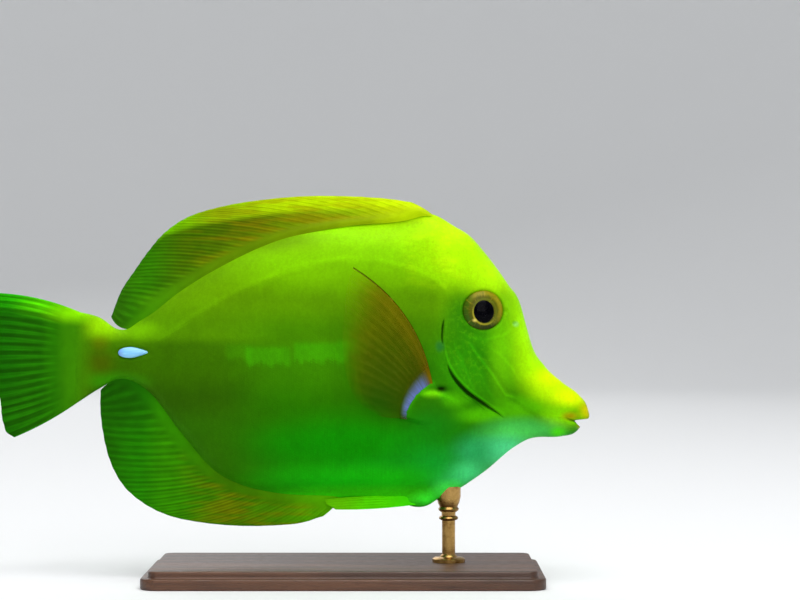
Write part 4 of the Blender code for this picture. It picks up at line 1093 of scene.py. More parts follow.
def new_surface(name):
    """A new material, the helper for its nodes and its shader."""
    material = bpy.data.materials.new(name)
    material.use_nodes = True
    return material, Nodes(material.node_tree), material.node_tree.nodes["Principled BSDF"]


def skin_gloss(shader):
    """The skin's faint greenish gloss."""
    shader.inputs["Specular IOR Level"].default_value = SKIN_GLOSS
    shader.inputs["Specular Tint"].default_value = SKIN_GLOSS_TINT


def skin_material():
    """The tang's skin, which the skin and its scales share."""
    material, nodes, shader = new_surface("tang_skin")
    place = in_millimetres(nodes)
    along, _, height = nodes.parts(place)
    rear = nodes.ramp(along, REAR_FROM[0], REAR_FROM[1])
    ground = nodes.mix(rear, nodes.palette(height, FLANK_COLOUR_AND_SHADE), nodes.palette(height, REAR_COLOUR_AND_SHADE))
    colour = patched(nodes, place, ground, BODY_PATCHES)
    tail_root = patched(nodes, place, nodes.palette(along, CAUDAL_TONES), CAUDAL_PATCHES)
    colour = nodes.mix(nodes.ramp(along, TAIL_BLEND[0], TAIL_BLEND[1]), colour, tail_root)
    creases = nodes.noise(nodes.vector("MULTIPLY", place, (1.1, 0.6, 0.5)), 1.0, 3.0)
    streaks = nodes.ramp(creases, 0.3, 0.7, 0.96, 1.035)
    band = nodes.maths("MULTIPLY", nodes.attribute("band"), streaks)
    colour = nodes.mix(band, colour, colour_of(*BAND_TONE))
    face = nodes.vector("MULTIPLY", nodes.vector("SUBTRACT", place, MOTTLE_AT), MOTTLE_REACH)
    mottle = nodes.ramp(nodes.noise(nodes.vector("MULTIPLY", place, (0.9, 0.5, 0.9)), 1.0, 3.0, 0.6), 0.48, 0.66)
    mottle = nodes.maths("MULTIPLY", mottle, nodes.ramp(nodes.vector("LENGTH", face), 1.2, 0.3, 0.0, 0.16))
    colour = nodes.mix(mottle, colour, colour_of(*MOTTLE_TONE))
    nape = nodes.noise(nodes.vector("MULTIPLY", place, NAPE_STREAKS), 1.0, 4.0, 0.65)
    nape = nodes.ramp(nape, 0.46, 0.66, 0.0, 0.4)
    nape = nodes.maths("MULTIPLY", nape, nodes.ramp(along, 12.0, 24.0))
    nape = nodes.maths("MULTIPLY", nape, nodes.ramp(height, 78.0, 90.0))
    colour = nodes.mix(nape, colour, colour_of(*NAPE_TONE))
    cloud = nodes.ramp(nodes.noise(place, 0.16, 4.0, 0.6), 0.3, 0.7, 0.93, 1.05)
    grain = nodes.ramp(nodes.noise(place, 1.9, 3.0, 0.6), 0.3, 0.75, 0.93, 1.05)
    # The tone mark multiplies in the painted shade of slits, creases and hollows and the painted highlights of rims
    # and folds.
    tone = nodes.maths("MULTIPLY", nodes.maths("MULTIPLY", cloud, grain), nodes.attribute("tone"))
    colour = nodes.toned(colour, nodes.maths("MULTIPLY", tone, streaks))
    nodes.put(shader.inputs["Base Color"], colour)
    rough = nodes.ramp(nodes.noise(place, 0.9, 3.0), 0.3, 0.7, 0.4, 0.55)
    nodes.put(shader.inputs["Roughness"], rough)
    skin_gloss(shader)
    pores = nodes.noise(place, 3.2, 2.0)
    bump = nodes.add("ShaderNodeBump", Height=pores, Strength=0.35, Distance=0.00012)
    nodes.put(shader.inputs["Normal"], bump.outputs[0])
    return material


def fin_finish(material, nodes, shader, place, colour, contrast, browned=None):
    """The rest of a fin's finish: lighter rays, finer lines between them, faint clouds and a fine grain."""
    lines = nodes.tree.nodes.new("ShaderNodeCombineXYZ")
    nodes.put(lines.inputs[0], nodes.maths("MULTIPLY", nodes.attribute("across"), FIN_LINES))
    nodes.put(lines.inputs[1], nodes.maths("MULTIPLY", nodes.attribute("out"), 1.5))
    low, high = contrast
    fine = nodes.ramp(nodes.noise(lines.outputs[0], 1.0, 2.0, 0.6), 0.32, 0.68, (1 + low) / 2, (1 + high) / 2)
    lined = nodes.attribute("lined")
    fine = nodes.maths("ADD", nodes.maths("MULTIPLY", nodes.maths("SUBTRACT", fine, 1.0), lined), 1.0)
    if browned is not None:
        brown = nodes.noise(nodes.vector("MULTIPLY", place, BROWN_STREAKS), 1.0, 3.0, 0.55)
        brown = nodes.ramp(brown, 0.4, 0.62, 0.0, 0.45)
        brown = nodes.maths("MULTIPLY", nodes.maths("MULTIPLY", brown, lined), browned)
        colour = nodes.mix(brown, colour, colour_of(*FIN_BROWN))
    between = nodes.maths("ADD", nodes.maths("MULTIPLY", lined, low - 1.0), 1.0)
    raised = nodes.maths("MULTIPLY", nodes.attribute("ray"), RAY_SHARE)
    raised = nodes.maths("ADD", raised, nodes.maths("MULTIPLY", nodes.attribute("stripe"), 1.0 - RAY_SHARE))
    tone = nodes.ramp(raised, 0.05, 0.9, between, high)
    tone = nodes.maths("MULTIPLY", tone, fine)
    if browned is not None:
        calm = nodes.ramp(nodes.parts(place)[0], *FIN_CALM)
        tone = nodes.maths("ADD", nodes.maths("MULTIPLY", nodes.maths("SUBTRACT", tone, 1.0), calm), 1.0)
    cloud = nodes.ramp(nodes.noise(place, 0.3, 3.0), 0.3, 0.7, 0.92, 1.06)
    nodes.put(shader.inputs["Base Color"], nodes.toned(colour, nodes.maths("MULTIPLY", tone, cloud)))
    nodes.put(shader.inputs["Roughness"], nodes.ramp(nodes.noise(place, 1.2, 2.0), 0.3, 0.7, 0.42, 0.58))
    skin_gloss(shader)
    bump = nodes.add("ShaderNodeBump", Height=nodes.noise(place, 2.6, 2.0), Strength=0.4, Distance=0.0001)
    nodes.put(shader.inputs["Normal"], bump.outputs[0])
    return material


def fin_material(name, tones, patches, above=None, root=None, contrast=FIN_CONTRAST, brown_to=ANAL_BROWN_TO):
    """An opaque fin whose colour changes along the fish, above its fold, where the fold's light and shade are
    painted, and towards its root.
    """
    material, nodes, shader = new_surface(name)
    place = in_millimetres(nodes)
    along = nodes.parts(place)[0]
    colour = patched(nodes, place, nodes.palette(along, tones), patches)
    if above is not None:
        colour = nodes.mix(nodes.attribute("fold"), colour, nodes.palette(along, above))
    if root is not None:
        share = nodes.ramp(nodes.attribute("out"), 0.42, 0.02, 0.0, 0.9)
        colour = nodes.mix(share, colour, nodes.palette(along, root))
    browned = nodes.maths("MULTIPLY", nodes.ramp(along, *BROWN_FROM), nodes.ramp(along, *brown_to))
    return fin_finish(material, nodes, shader, place, colour, contrast, browned)


def pectoral_material():
    """The pectoral fins' clear membrane, orange along the front ray and clearest along its edge, with painted
    glints on the front ray.
    """
    material, nodes, shader = new_surface("tang_pectoral")
    place = in_millimetres(nodes)
    out, across = nodes.attribute("out"), nodes.attribute("across")
    colour = patched(nodes, place, nodes.palette(out, PECTORAL_GROUND), PECTORAL_PATCHES)
    colour = nodes.mix(nodes.ramp(across, 0.24, 0.0, 0.0, 0.6), colour, colour_of(*PECTORAL_FRONT))
    arc = nodes.maths("MULTIPLY", nodes.ramp(out, 0.115, 0.0), nodes.ramp(across, 0.06, 0.32))
    arc = nodes.maths("MULTIPLY", arc, nodes.ramp(across, 1.02, 0.8))
    fringe = nodes.tree.nodes.new("ShaderNodeCombineXYZ")
    nodes.put(fringe.inputs[0], nodes.maths("MULTIPLY", across, ARC_FRINGE))
    fringe = nodes.ramp(nodes.noise(fringe.outputs[0], 1.0, 1.0), 0.35, 0.62, 0.55, 1.0)
    arc = nodes.maths("MULTIPLY", arc, fringe)
    colour = nodes.mix(arc, colour, colour_of(*PECTORAL_ARC))
    colour = nodes.mix(nodes.ramp(across, 0.009, 0.003), colour, colour_of(*PECTORAL_FRONT_EDGE))
    # Painted glints of light on the front ray's joints.
    glints = nodes.maths("MULTIPLY", nodes.ramp(nodes.noise(place, 0.55, 2.0), 0.56, 0.66),
                        nodes.ramp(across, 0.03, 0.012))
    glints = nodes.maths("MULTIPLY", glints, nodes.ramp(out, 0.12, 0.2))
    glints = nodes.maths("MULTIPLY", glints, nodes.ramp(out, 0.75, 0.6, 0.0, 0.6))
    colour = nodes.mix(glints, colour, colour_of(*PECTORAL_GLINTS))
    clear = nodes.ramp(out, 0.66, 1.0, PECTORAL_ALPHA, PECTORAL_EDGE_ALPHA)
    clear = nodes.maths("MULTIPLY", clear, nodes.ramp(across, 1.0, 0.75, 0.5, 1.0))
    solid = nodes.ramp(across, 0.014, 0.004, 0.0, 0.5)
    root = nodes.ramp(out, 0.16, 0.04, 0.0, 0.5)
    clear = nodes.maths("ADD", nodes.maths("ADD", clear, solid), root)
    clear = nodes.maths("ADD", clear, nodes.maths("MULTIPLY", nodes.attribute("ray"), 0.05))
    nodes.put(shader.inputs["Alpha"], nodes.maths("MINIMUM", clear, 1.0))
    return fin_finish(material, nodes, shader, place, colour, PECTORAL_CONTRAST)


def around_eye(nodes):
    """The distance from the eye's middle in the side view, and the place there, in millimetres."""
    place = in_millimetres(nodes)
    off = nodes.vector("SUBTRACT", place, (EYE_AT[0], 0.0, EYE_AT[1]))
    off = nodes.vector("MULTIPLY", off, (1.0, 0.0, 1.0))
    return nodes.vector("LENGTH", off), place, off


def iris_material():
    """The golden brown iris, paler round the pupil, with fine streaks that run outwards, a painted gold glint at
    its lower left and painted shade along its lower rim.
    """
    material, nodes, shader = new_surface("eye_iris")
    away, place, off = around_eye(nodes)
    across, _, up = nodes.parts(off)
    tilt = nodes.maths("ADD", nodes.maths("MULTIPLY", across, 0.55), nodes.maths("MULTIPLY", up, 0.83))
    outer = nodes.mix(nodes.ramp(tilt, -3.6, 3.0), colour_of(52, 70, 0), colour_of(140, 132, 4))
    outer = nodes.mix(nodes.ramp(across, -2.0, -4.6, 0.0, 0.8), outer, colour_of(55, 95, 0))
    colour = nodes.mix(nodes.ramp(away, 3.6, 4.7), colour_of(84, 86, 2), outer)
    turn = nodes.maths("ARCTAN2", up, across)
    streak_at = nodes.tree.nodes.new("ShaderNodeCombineXYZ")
    nodes.put(streak_at.inputs[0], nodes.maths("MULTIPLY", nodes.maths("COSINE", turn), 9.0))
    nodes.put(streak_at.inputs[1], nodes.maths("MULTIPLY", nodes.maths("SINE", turn), 9.0))
    nodes.put(streak_at.inputs[2], nodes.maths("MULTIPLY", away, 0.35))
    streaks = nodes.noise(streak_at.outputs[0], 1.0, 3.0)
    colour = nodes.mix(nodes.ramp(streaks, 0.52, 0.75, 0.0, 0.5), colour, colour_of(170, 150, 30))
    blotch = nodes.noise(place, 0.7, 3.0)
    colour = nodes.mix(nodes.ramp(blotch, 0.5, 0.7, 0.0, 0.4), colour, colour_of(52, 84, 6))
    pupil = nodes.vector("SUBTRACT", place, (PUPIL_SEEN[0], 0.0, PUPIL_SEEN[1]))
    pupil = nodes.vector("MULTIPLY", pupil, (1.0 / PUPIL_RADII[0], 0.0, 1.0 / PUPIL_RADII[2]))
    ring = nodes.maths("ABSOLUTE", nodes.maths("SUBTRACT", nodes.vector("LENGTH", pupil), 1.12))
    bright = nodes.mix(nodes.ramp(tilt, 0.0, -3.0), colour_of(96, 106, 14), colour_of(176, 168, 40))
    colour = nodes.mix(nodes.ramp(ring, 0.12, 0.03, 0.0, 0.8), colour, bright)
    colour = patched(nodes, place, colour, IRIS_PATCHES)
    nodes.put(shader.inputs["Base Color"], colour)
    shader.inputs["Roughness"].default_value = 0.35
    shader.inputs["Specular IOR Level"].default_value = 0.1
    shader.inputs["Coat Weight"].default_value = 0.06
    shader.inputs["Coat Roughness"].default_value = 0.1
    bump = nodes.add("ShaderNodeBump", Height=streaks, Strength=0.5, Distance=0.0002)
    nodes.put(shader.inputs["Normal"], bump.outputs[0])
    return material


def pupil_material():
    """The black pupil's lens."""
    material, nodes, shader = new_surface("eye_pupil")
    place = in_millimetres(nodes)
    deep = nodes.ramp(nodes.noise(place, 0.5, 2.0), 0.3, 0.7)
    nodes.put(shader.inputs["Base Color"], nodes.mix(deep, colour_of(1, 1, 4), colour_of(4, 4, 8)))
    nodes.put(shader.inputs["Roughness"], nodes.ramp(deep, 0.0, 1.0, 0.1, 0.2))
    shader.inputs["Specular IOR Level"].default_value = 0.04
    return material


def blade_material():
    """The pale horn of the tail blade, faintly streaked along its length."""
    material, nodes, shader = new_surface("tail_blade_horn")
    place = in_millimetres(nodes)
    streak = nodes.noise(nodes.vector("MULTIPLY", place, (0.25, 2.4, 2.4)), 1.0, 3.0)
    colour = nodes.mix(nodes.ramp(streak, 0.3, 0.7), colour_of(128, 202, 250), colour_of(150, 214, 252))
    behind = nodes.ramp(nodes.parts(place)[0], TAIL_SPINE_AT[0] - 1.5, TAIL_SPINE_AT[0] - 4.0, 0.0, 0.8)
    colour = nodes.mix(behind, colour, colour_of(104, 138, 226))
    nodes.put(shader.inputs["Base Color"], colour)
    nodes.put(shader.inputs["Roughness"], nodes.ramp(streak, 0.3, 0.7, 0.3, 0.42))
    bump = nodes.add("ShaderNodeBump", Height=streak, Strength=0.3, Distance=0.0001)
    nodes.put(shader.inputs["Normal"], bump.outputs[0])
    return material


def wood_material():
    """Dark oiled walnut, its grain along the base."""
    material, nodes, shader = new_surface("stand_walnut")
    place = in_millimetres(nodes)
    bent = nodes.noise(nodes.vector("MULTIPLY", place, (0.011, 0.045, 0.045)), 1.0, 4.0)
    wave = nodes.tree.nodes.new("ShaderNodeTexWave")
    wave.bands_direction = "Y"
    lined = nodes.vector("MULTIPLY", place, (0.004, 0.055, 0.09))
    lined = nodes.vector("ADD", lined, nodes.maths("MULTIPLY", bent, 1.5))
    nodes.put(wave.inputs["Vector"], lined)
    wave.inputs["Scale"].default_value = 0.55
    wave.inputs["Distortion"].default_value = 2.5
    wave.inputs["Detail"].default_value = 3.0
    rings = nodes.ramp(wave.outputs["Fac"], 0.05, 0.95)
    grain = nodes.mix(rings, colour_of(72, 44, 29), colour_of(98, 62, 40))
    fibres = nodes.noise(nodes.vector("MULTIPLY", place, (0.04, 1.3, 1.3)), 1.0, 4.0, 0.65)
    grain = nodes.mix(nodes.ramp(fibres, 0.4, 0.66, 0.0, 0.5), grain, colour_of(56, 33, 21))
    pores = nodes.noise(nodes.vector("MULTIPLY", place, (0.35, 4.0, 4.0)), 1.0, 2.0)
    grain = nodes.mix(nodes.ramp(pores, 0.62, 0.72, 0.0, 0.7), grain, colour_of(34, 20, 13))
    nodes.put(shader.inputs["Base Color"], grain)
    nodes.put(shader.inputs["Roughness"], nodes.ramp(pores, 0.3, 0.8, 0.34, 0.55))
    bump = nodes.add("ShaderNodeBump", Height=pores, Strength=0.3, Distance=0.0001)
    nodes.put(shader.inputs["Normal"], bump.outputs[0])
    return material


def brass_material():
    """Brushed brass, slightly darkened in places."""
    material, nodes, shader = new_surface("stand_brass_finish")
    place = in_millimetres(nodes)
    brushed = nodes.noise(nodes.vector("MULTIPLY", place, (0.6, 0.6, 9.0)), 1.0, 2.0)
    stain = nodes.noise(place, 0.35, 3.0)
    colour = nodes.mix(nodes.ramp(stain, 0.4, 0.7), colour_of(178, 142, 82), colour_of(140, 106, 56))
    nodes.put(shader.inputs["Base Color"], colour)
    nodes.put(shader.inputs["Roughness"], nodes.ramp(brushed, 0.3, 0.7, 0.24, 0.38))
    shader.inputs["Metallic"].default_value = 1.0
    bump = nodes.add("ShaderNodeBump", Height=brushed, Strength=0.2, Distance=0.00005)
    nodes.put(shader.inputs["Normal"], bump.outputs[0])
    return material


def alone():
    """Deselects everything, so that an operator acts on the next piece alone."""
    if bpy.context.object and bpy.context.object.mode != "OBJECT":
        bpy.ops.object.mode_set(mode="OBJECT")
    bpy.ops.object.select_all(action="DESELECT")


def finished(piece, name, material, degrees=35.0):
    """Settles a hand-modelled piece: its place in its mesh, its name, its finish and its body."""
    alone()
    piece.select_set(True)
    bpy.context.view_layer.objects.active = piece
    bpy.ops.object.transform_apply(location=True, rotation=True, scale=True)
    bpy.ops.object.shade_smooth_by_angle(angle=math.radians(degrees))
    piece.name = name
    piece.data.name = name
    piece.data.materials.clear()
    piece.data.materials.append(material)
    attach(piece, "root")
    return piece


def eye_axes(side):
    """The middle of one eye's ball and its axes: along the fish, out of the head and up."""
    x, z = EYE_AT
    slope_x = float(flank(x + 1.0, z) - flank(x - 1.0, z))
    slope_z = float(flank(x, z + 1.0) - flank(x, z - 1.0))
    axis = Vector((-slope_x / 2, side, -slope_z / 2)).normalized()
    along = (Vector((1.0, 0.0, 0.0)) - axis * axis.x).normalized()
    up = along.cross(axis) * side
    middle = Vector((x, side * float(flank(x, z)), z)) - axis * EYE_SUNK
    return middle, along, axis, up


def set_by(piece, middle, along, axis, up, radii):
    """Stretches a ball of radius 1 m along the three axes and puts it in its place."""
    turn = Matrix((along, axis, up)).transposed().to_4x4()
    stretch = Matrix.Diagonal((*[radius * MM for radius in radii], 1.0))
    piece.data.transform(Matrix.Translation(middle * MM) @ turn @ stretch)
    if turn.determinant() < 0:
        piece.data.flip_normals()


def make_eye(label, side, iris, pupil):
    """One eye: a flattened ball that is dished round the pupil, and the pupil's dark lens in the dish."""
    middle, along, axis, up = eye_axes(side)
    alone()
    bpy.ops.mesh.primitive_uv_sphere_add(segments=72, ring_count=48, radius=1.0, rotation=(math.pi / 2, 0, 0))
    ball = bpy.context.object
    bpy.ops.object.transform_apply(rotation=True)
    for vert in ball.data.vertices:
        across = math.hypot(vert.co.x, vert.co.z)
        if vert.co.y > 0:
            vert.co.y -= IRIS_DISH * float(hill(across, 0.0, 0.5))
    set_by(ball, middle, along, axis, up, (EYE_RADIUS, EYE_HALF, EYE_RADIUS))
    finished(ball, "eye_ball_" + label, iris, 60.0)
    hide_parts("eye_" + label)
    alone()
    bpy.ops.mesh.primitive_uv_sphere_add(segments=56, ring_count=32, radius=1.0, rotation=(math.pi / 2, 0, 0))
    lens = bpy.context.object
    bpy.ops.object.transform_apply(rotation=True)
    x_off, z_off = PUPIL_OFF
    seat = middle + axis * PUPIL_SEAT + along * x_off + up * z_off
    set_by(lens, seat, along, axis, up, PUPIL_RADII)
    finished(lens, "eye_pupil_" + label, pupil, 60.0)


def make_tail_blade(label, side, material):
    """One tail spine: a blade folded into its groove, blunt behind and pointed in front."""
    x, z = TAIL_SPINE_AT
    alone()
    bpy.ops.mesh.primitive_uv_sphere_add(segments=48, ring_count=32, radius=1.0, rotation=(0, math.pi / 2, 0))
    blade = bpy.context.object
    bpy.ops.object.transform_apply(rotation=True)
    for vert in blade.data.vertices:
        ahead = vert.co.x
        blunt = math.sqrt((1 - ahead + ahead * ahead) / (1 - ahead)) if ahead < 0 else 1.0
        lean = 1.0 - 0.62 * float(ease(-0.35, 1.0, ahead))
        vert.co.z = vert.co.z * lean * blunt + 0.06 * ahead
        vert.co.y *= (0.85 + 0.15 * lean) * blunt
    x, z = x + BLADE_SHIFT[0], z + BLADE_SHIFT[1]
    seat = Vector((x, side * (float(flank(x, z)) - BLADE_SUNK), z))
    set_by(blade, seat, Vector((1, 0, 0)), Vector((0, 1, 0)), Vector((0, 0, 1)), BLADE_RADII)
    finished(blade, "tail_blade_" + label, material, 60.0)
    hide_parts("tail_spine_" + label)


def faces_up(piece, above):
    """Selects, in edit mode, the faces that look straight up and lie above a height in millimetres."""
    bpy.ops.object.mode_set(mode="EDIT")
    bpy.ops.mesh.select_mode(type="FACE")
    bpy.ops.mesh.select_all(action="DESELECT")
    bpy.ops.object.mode_set(mode="OBJECT")
    for face in piece.data.polygons:
        face.select = face.normal.z > 0.99 and face.center.z > above * MM
    bpy.ops.object.mode_set(mode="EDIT")


def make_base(material):
    """The walnut base: a slab with rounded corners, a step and a raised top."""
    low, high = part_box("stand_base")
    length, width, height = (high - low)
    slab = height * BASE_SLAB_SHARE
    alone()
    bpy.ops.mesh.primitive_cube_add(size=1.0, location=(0.0, 0.0, slab / 2), scale=(length, width, slab))
    base = bpy.context.object
    bpy.ops.object.transform_apply(location=True, scale=True)
    bpy.ops.object.mode_set(mode="EDIT")
    bpy.ops.mesh.select_mode(type="EDGE")
    bpy.ops.mesh.select_all(action="DESELECT")
    bpy.ops.object.mode_set(mode="OBJECT")
    for edge in base.data.edges:
        one, two = (base.data.vertices[i].co for i in edge.vertices)
        edge.select = abs(one.z - two.z) > slab / 2
    bpy.ops.object.mode_set(mode="EDIT")
    bpy.ops.mesh.bevel(offset=BASE_CORNER * MM, segments=10, affect="EDGES")
    bpy.ops.object.mode_set(mode="OBJECT")
    faces_up(base, slab / MM / 2)
    bpy.ops.mesh.inset(thickness=BASE_STEP * MM, depth=0.0)
    bpy.ops.mesh.extrude_region_move(TRANSFORM_OT_translate={"value": (0.0, 0.0, height - slab)})
    bpy.ops.mesh.inset(thickness=BASE_STEP * 0.5 * MM, depth=0.0)
    bpy.ops.object.mode_set(mode="OBJECT")
    bevel = base.modifiers.new("soft edges", "BEVEL")
    bevel.width = BASE_SOFT * MM
    bevel.segments = 4
    bevel.limit_method = "ANGLE"
    bpy.ops.object.modifier_apply(modifier=bevel.name)
    finished(base, "stand_base_walnut", material)
    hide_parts("stand_base")


def lathe(steps, foot):
    """A turned piece over the rod's place: from the foot up, each step is a radius and a height."""
    alone()
    radius, height = steps[0]
    bpy.ops.mesh.primitive_cylinder_add(vertices=TURNED_SIDES, radius=radius * MM, depth=(height - foot) * MM,
                                        location=(ROD_X * MM, 0.0, (foot + height) / 2 * MM))
    piece = bpy.context.object
    bpy.ops.object.transform_apply(location=True)
    centre = (ROD_X * MM, 0.0, height * MM)
    faces_up(piece, (foot + height) / 2)
    for (before, low), (after, high) in zip(steps, steps[1:]):
        bpy.ops.mesh.extrude_region_move(TRANSFORM_OT_translate={"value": (0.0, 0.0, (high - low) * MM)})
        grow = after / before
        bpy.ops.transform.resize(value=(grow, grow, 1.0), center_override=centre)
    bpy.ops.object.mode_set(mode="OBJECT")
    return piece


def make_rod(material):
    """The brass rod, with a turned foot on the base and a bead under the collar."""
    low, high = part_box("stand_rod")
    foot, top = low.z / MM - 0.3, high.z / MM + 0.3
    rod = lathe([(radius, foot + rise) for radius, rise in ROD_FOOT]
                + [(radius, top - drop) for radius, drop in ROD_HEAD], foot)
    finished(rod, "stand_rod_turned", material)
    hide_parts("stand_rod")


def make_collar(material):
    """The brass collar, hollowed to the belly that it cradles."""
    low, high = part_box("stand_collar")
    foot, top = low.z / MM, high.z / MM
    collar = lathe([(radius, foot + (top - foot) * share) for radius, share in COLLAR_STEPS], foot)
    side, normal, _ = skin_side(np.arange(ROD_X - COLLAR_ROOM, ROD_X + COLLAR_ROOM, 0.4), 2)
    points, faces = closed_rings([full_ring(half) for half in side + normal * COLLAR_GAP])
    mesh = bpy.data.meshes.new("belly")
    mesh.from_pydata((points * MM).tolist(), [], faces)
    room = bpy.data.objects.new("belly", mesh)
    bpy.context.scene.collection.objects.link(room)
    hollow = collar.modifiers.new("hollow", "BOOLEAN")
    hollow.operation = "DIFFERENCE"
    hollow.solver = "EXACT"
    hollow.object = room
    alone()
    collar.select_set(True)
    bpy.context.view_layer.objects.active = collar
    bpy.ops.object.modifier_apply(modifier=hollow.name)
    bpy.data.objects.remove(room)
    keep_largest(collar)
    finished(collar, "stand_collar_turned", material)
    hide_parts("stand_collar")


def keep_largest(piece):
    """Drops every loose scrap of a mesh but its largest closed part."""
    shape = bmesh.new()
    shape.from_mesh(piece.data)
    left = set(shape.faces)
    parts = []
    while left:
        seed = left.pop()
        part, front = {seed}, [seed]
        while front:
            for edge in front.pop().edges:
                for face in edge.link_faces:
                    if face in left:
                        left.discard(face)
                        part.add(face)
                        front.append(face)
        parts.append(part)
    largest = max(parts, key=len)
    bmesh.ops.delete(shape, geom=[f for part in parts if part is not largest for f in part], context="FACES")
    shape.to_mesh(piece.data)
    shape.free()


def make_stage():
    """A pale floor that sweeps up all round."""
    rings = []
    for share in np.linspace(0.0, 1.0, 25):
        turn = share * math.pi / 2
        rings.append((FLOOR_REACH + SWEEP * math.sin(turn), SWEEP * (1 - math.cos(turn))))
    rings = [(0.001, 0.0), (FLOOR_REACH / 2, 0.0)] + rings + [(FLOOR_REACH + SWEEP, WALL_TOP)]
    points, faces, count = [], [], 96
    for reach, height in rings:
        for k in range(count):
            turn = 2 * math.pi * k / count
            points.append((reach * math.cos(turn), reach * math.sin(turn), height))
    for i in range(len(rings) - 1):
        for k in range(count):
            one, two = i * count + k, i * count + (k + 1) % count
            faces.append((one, two, two + count, one + count))
    faces.append(tuple(range(count)))
    mesh = bpy.data.meshes.new("pale_floor")
    mesh.from_pydata(points, [], faces)
    for polygon in mesh.polygons:
        polygon.use_smooth = True
    floor = bpy.data.objects.new("pale_floor", mesh)
    bpy.context.scene.collection.objects.link(floor)
    material, _, shader = new_surface("floor_paper")
    shader.inputs["Base Color"].default_value = FLOOR_TONE
    shader.inputs["Roughness"].default_value = 0.9
    shader.inputs["Specular IOR Level"].default_value = 0.1
    mesh.materials.append(material)


def make_light(name, place, target, size, power, tone=(1.0, 1.0, 1.0)):
    """A square soft light at a place, turned to its target, in metres."""
    lamp = bpy.data.lights.new(name, "AREA")
    lamp.size = size
    lamp.energy = power
    lamp.color = tone
    made = bpy.data.objects.new(name, lamp)
    made.location = place
    made.rotation_mode = "QUATERNION"
    made.rotation_quaternion = (Vector(target) - Vector(place)).to_track_quat("-Z", "Y")
    bpy.context.scene.collection.objects.link(made)


def make_lights():
    """The lights and the pale sky over the sweep."""
    for name, place, size, power in LIGHTS:
        make_light(name, place, (0.0, 0.0, 0.07), size, power)
    world = bpy.data.worlds.new("studio")
    world.use_nodes = True
    world.node_tree.nodes["Background"].inputs["Color"].default_value = (1.0, 1.0, 1.0, 1.0)
    world.node_tree.nodes["Background"].inputs["Strength"].default_value = SKY_STRENGTH
    bpy.context.scene.world = world


def make_camera():
    """The camera level with the fish's side, as far off as the photograph's flat view asks."""
    data = bpy.data.cameras.new("camera")
    data.sensor_width = 36.0
    data.lens = data.sensor_width / 2 / (VIEW_WIDTH / 2 / CAMERA_AWAY)
    camera = bpy.data.objects.new("camera", data)
    camera.location = Vector((VIEW_MIDDLE[0], -CAMERA_AWAY, VIEW_MIDDLE[1])) * MM
    camera.rotation_euler = (math.pi / 2, 0.0, 0.0)
    data.clip_start, data.clip_end = 0.01, 20.0
    bpy.context.scene.collection.objects.link(camera)
    bpy.context.scene.camera = camera


# The photograph is 224 mm wide at the fish's middle plane, at 0.28 mm to a pixel.
VIEW_WIDTH, VIEW_MIDDLE, CAMERA_AWAY = 224.0, (15.4, 78.3), 700.0
SKIN_GLOSS, SKIN_GLOSS_TINT = 0.11, (0.62, 1.0, 0.1, 1.0)
PECTORAL_ALPHA, PECTORAL_EDGE_ALPHA = 0.54, 0.05
ARC_FRINGE = 34.0
IRIS_DISH = 0.1
PUPIL_OFF, PUPIL_SEAT, PUPIL_RADII, PUPIL_SEEN = (-0.1, -0.45), 2.6, (2.9, 0.8, 3.15), (38.8, 75.1)
BLADE_RADII, BLADE_SUNK, BLADE_SHIFT = (4.6, 0.95, 1.55), 0.25, (0.8, 0.3)
BASE_SLAB_SHARE, BASE_CORNER, BASE_STEP, BASE_SOFT = 0.62, 5.0, 2.2, 0.55
TURNED_SIDES = 64
ROD_FOOT = ((4.6, 0.5), (4.6, 0.9), (4.1, 1.3), (2.5, 1.5), (2.2, 1.9), (1.85, 2.2))
ROD_HEAD = ((1.85, 2.4), (2.5, 2.1), (2.7, 1.7), (2.5, 1.3), (1.95, 1.0), (1.95, 0.0))
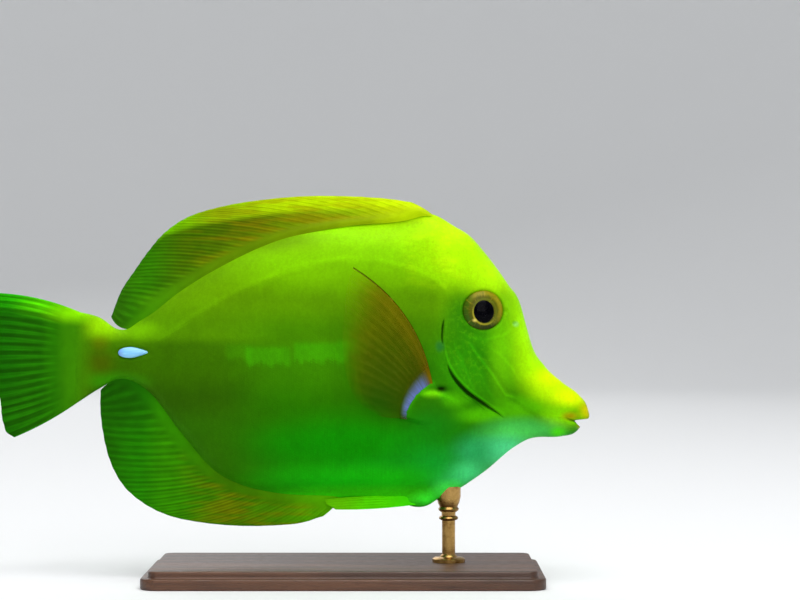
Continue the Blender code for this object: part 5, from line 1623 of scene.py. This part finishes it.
COLLAR_STEPS = ((2.3, 0.02), (2.7, 0.05), (2.9, 0.12), (2.5, 0.2), (3.0, 0.36), (3.4, 0.6), (3.4, 1.0))
COLLAR_GAP, COLLAR_ROOM = 0.12, 7.0
FLOOR_REACH, SWEEP, WALL_TOP = 1.5, 0.9, 2.6
FLOOR_TONE = (0.86, 0.87, 0.88, 1.0)
SKY_STRENGTH = 0.32
LIGHTS = (
    ("soft_top", (0.1, -0.35, 1.3), 1.1, 15.0),
    ("soft_front", (0.35, -1.35, 0.75), 1.0, 5.7),
    ("soft_back", (-0.5, 1.3, 0.9), 1.0, 5.7),
)


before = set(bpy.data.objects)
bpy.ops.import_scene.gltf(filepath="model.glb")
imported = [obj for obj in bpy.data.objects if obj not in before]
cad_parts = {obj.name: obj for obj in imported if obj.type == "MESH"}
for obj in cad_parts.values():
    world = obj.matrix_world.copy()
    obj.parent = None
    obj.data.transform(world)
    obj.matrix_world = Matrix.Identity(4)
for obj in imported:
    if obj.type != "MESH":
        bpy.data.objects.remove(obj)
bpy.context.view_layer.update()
make_camera()
make_stage()
make_lights()
skin_finish = skin_material()
make_skin(skin_finish)
lower_fins = fin_material("tang_lower_fins", ANAL_TONES, ANAL_PATCHES)
pectoral_finish = pectoral_material()
make_dorsal_fin(fin_material("tang_dorsal", DORSAL_BELOW, DORSAL_PATCHES, DORSAL_ABOVE, DORSAL_ROOT,
                             brown_to=DORSAL_BROWN_TO))
make_anal_fin(lower_fins)
make_caudal_fin(fin_material("tang_tail", CAUDAL_TONES, CAUDAL_PATCHES, contrast=TAIL_CONTRAST))
iris, pupil, blade = iris_material(), pupil_material(), blade_material()
for label, side in SIDES:
    make_pectoral_fin(label, side, pectoral_finish)
    make_pelvic_fin(label, side, lower_fins)
    make_coat(label, side, skin_finish)
    make_eye(label, side, iris, pupil)
    make_tail_blade(label, side, blade)
make_base(wood_material())
brass = brass_material()
make_rod(brass)
make_collar(brass)
bpy.context.scene.view_settings.view_transform = "Standard"
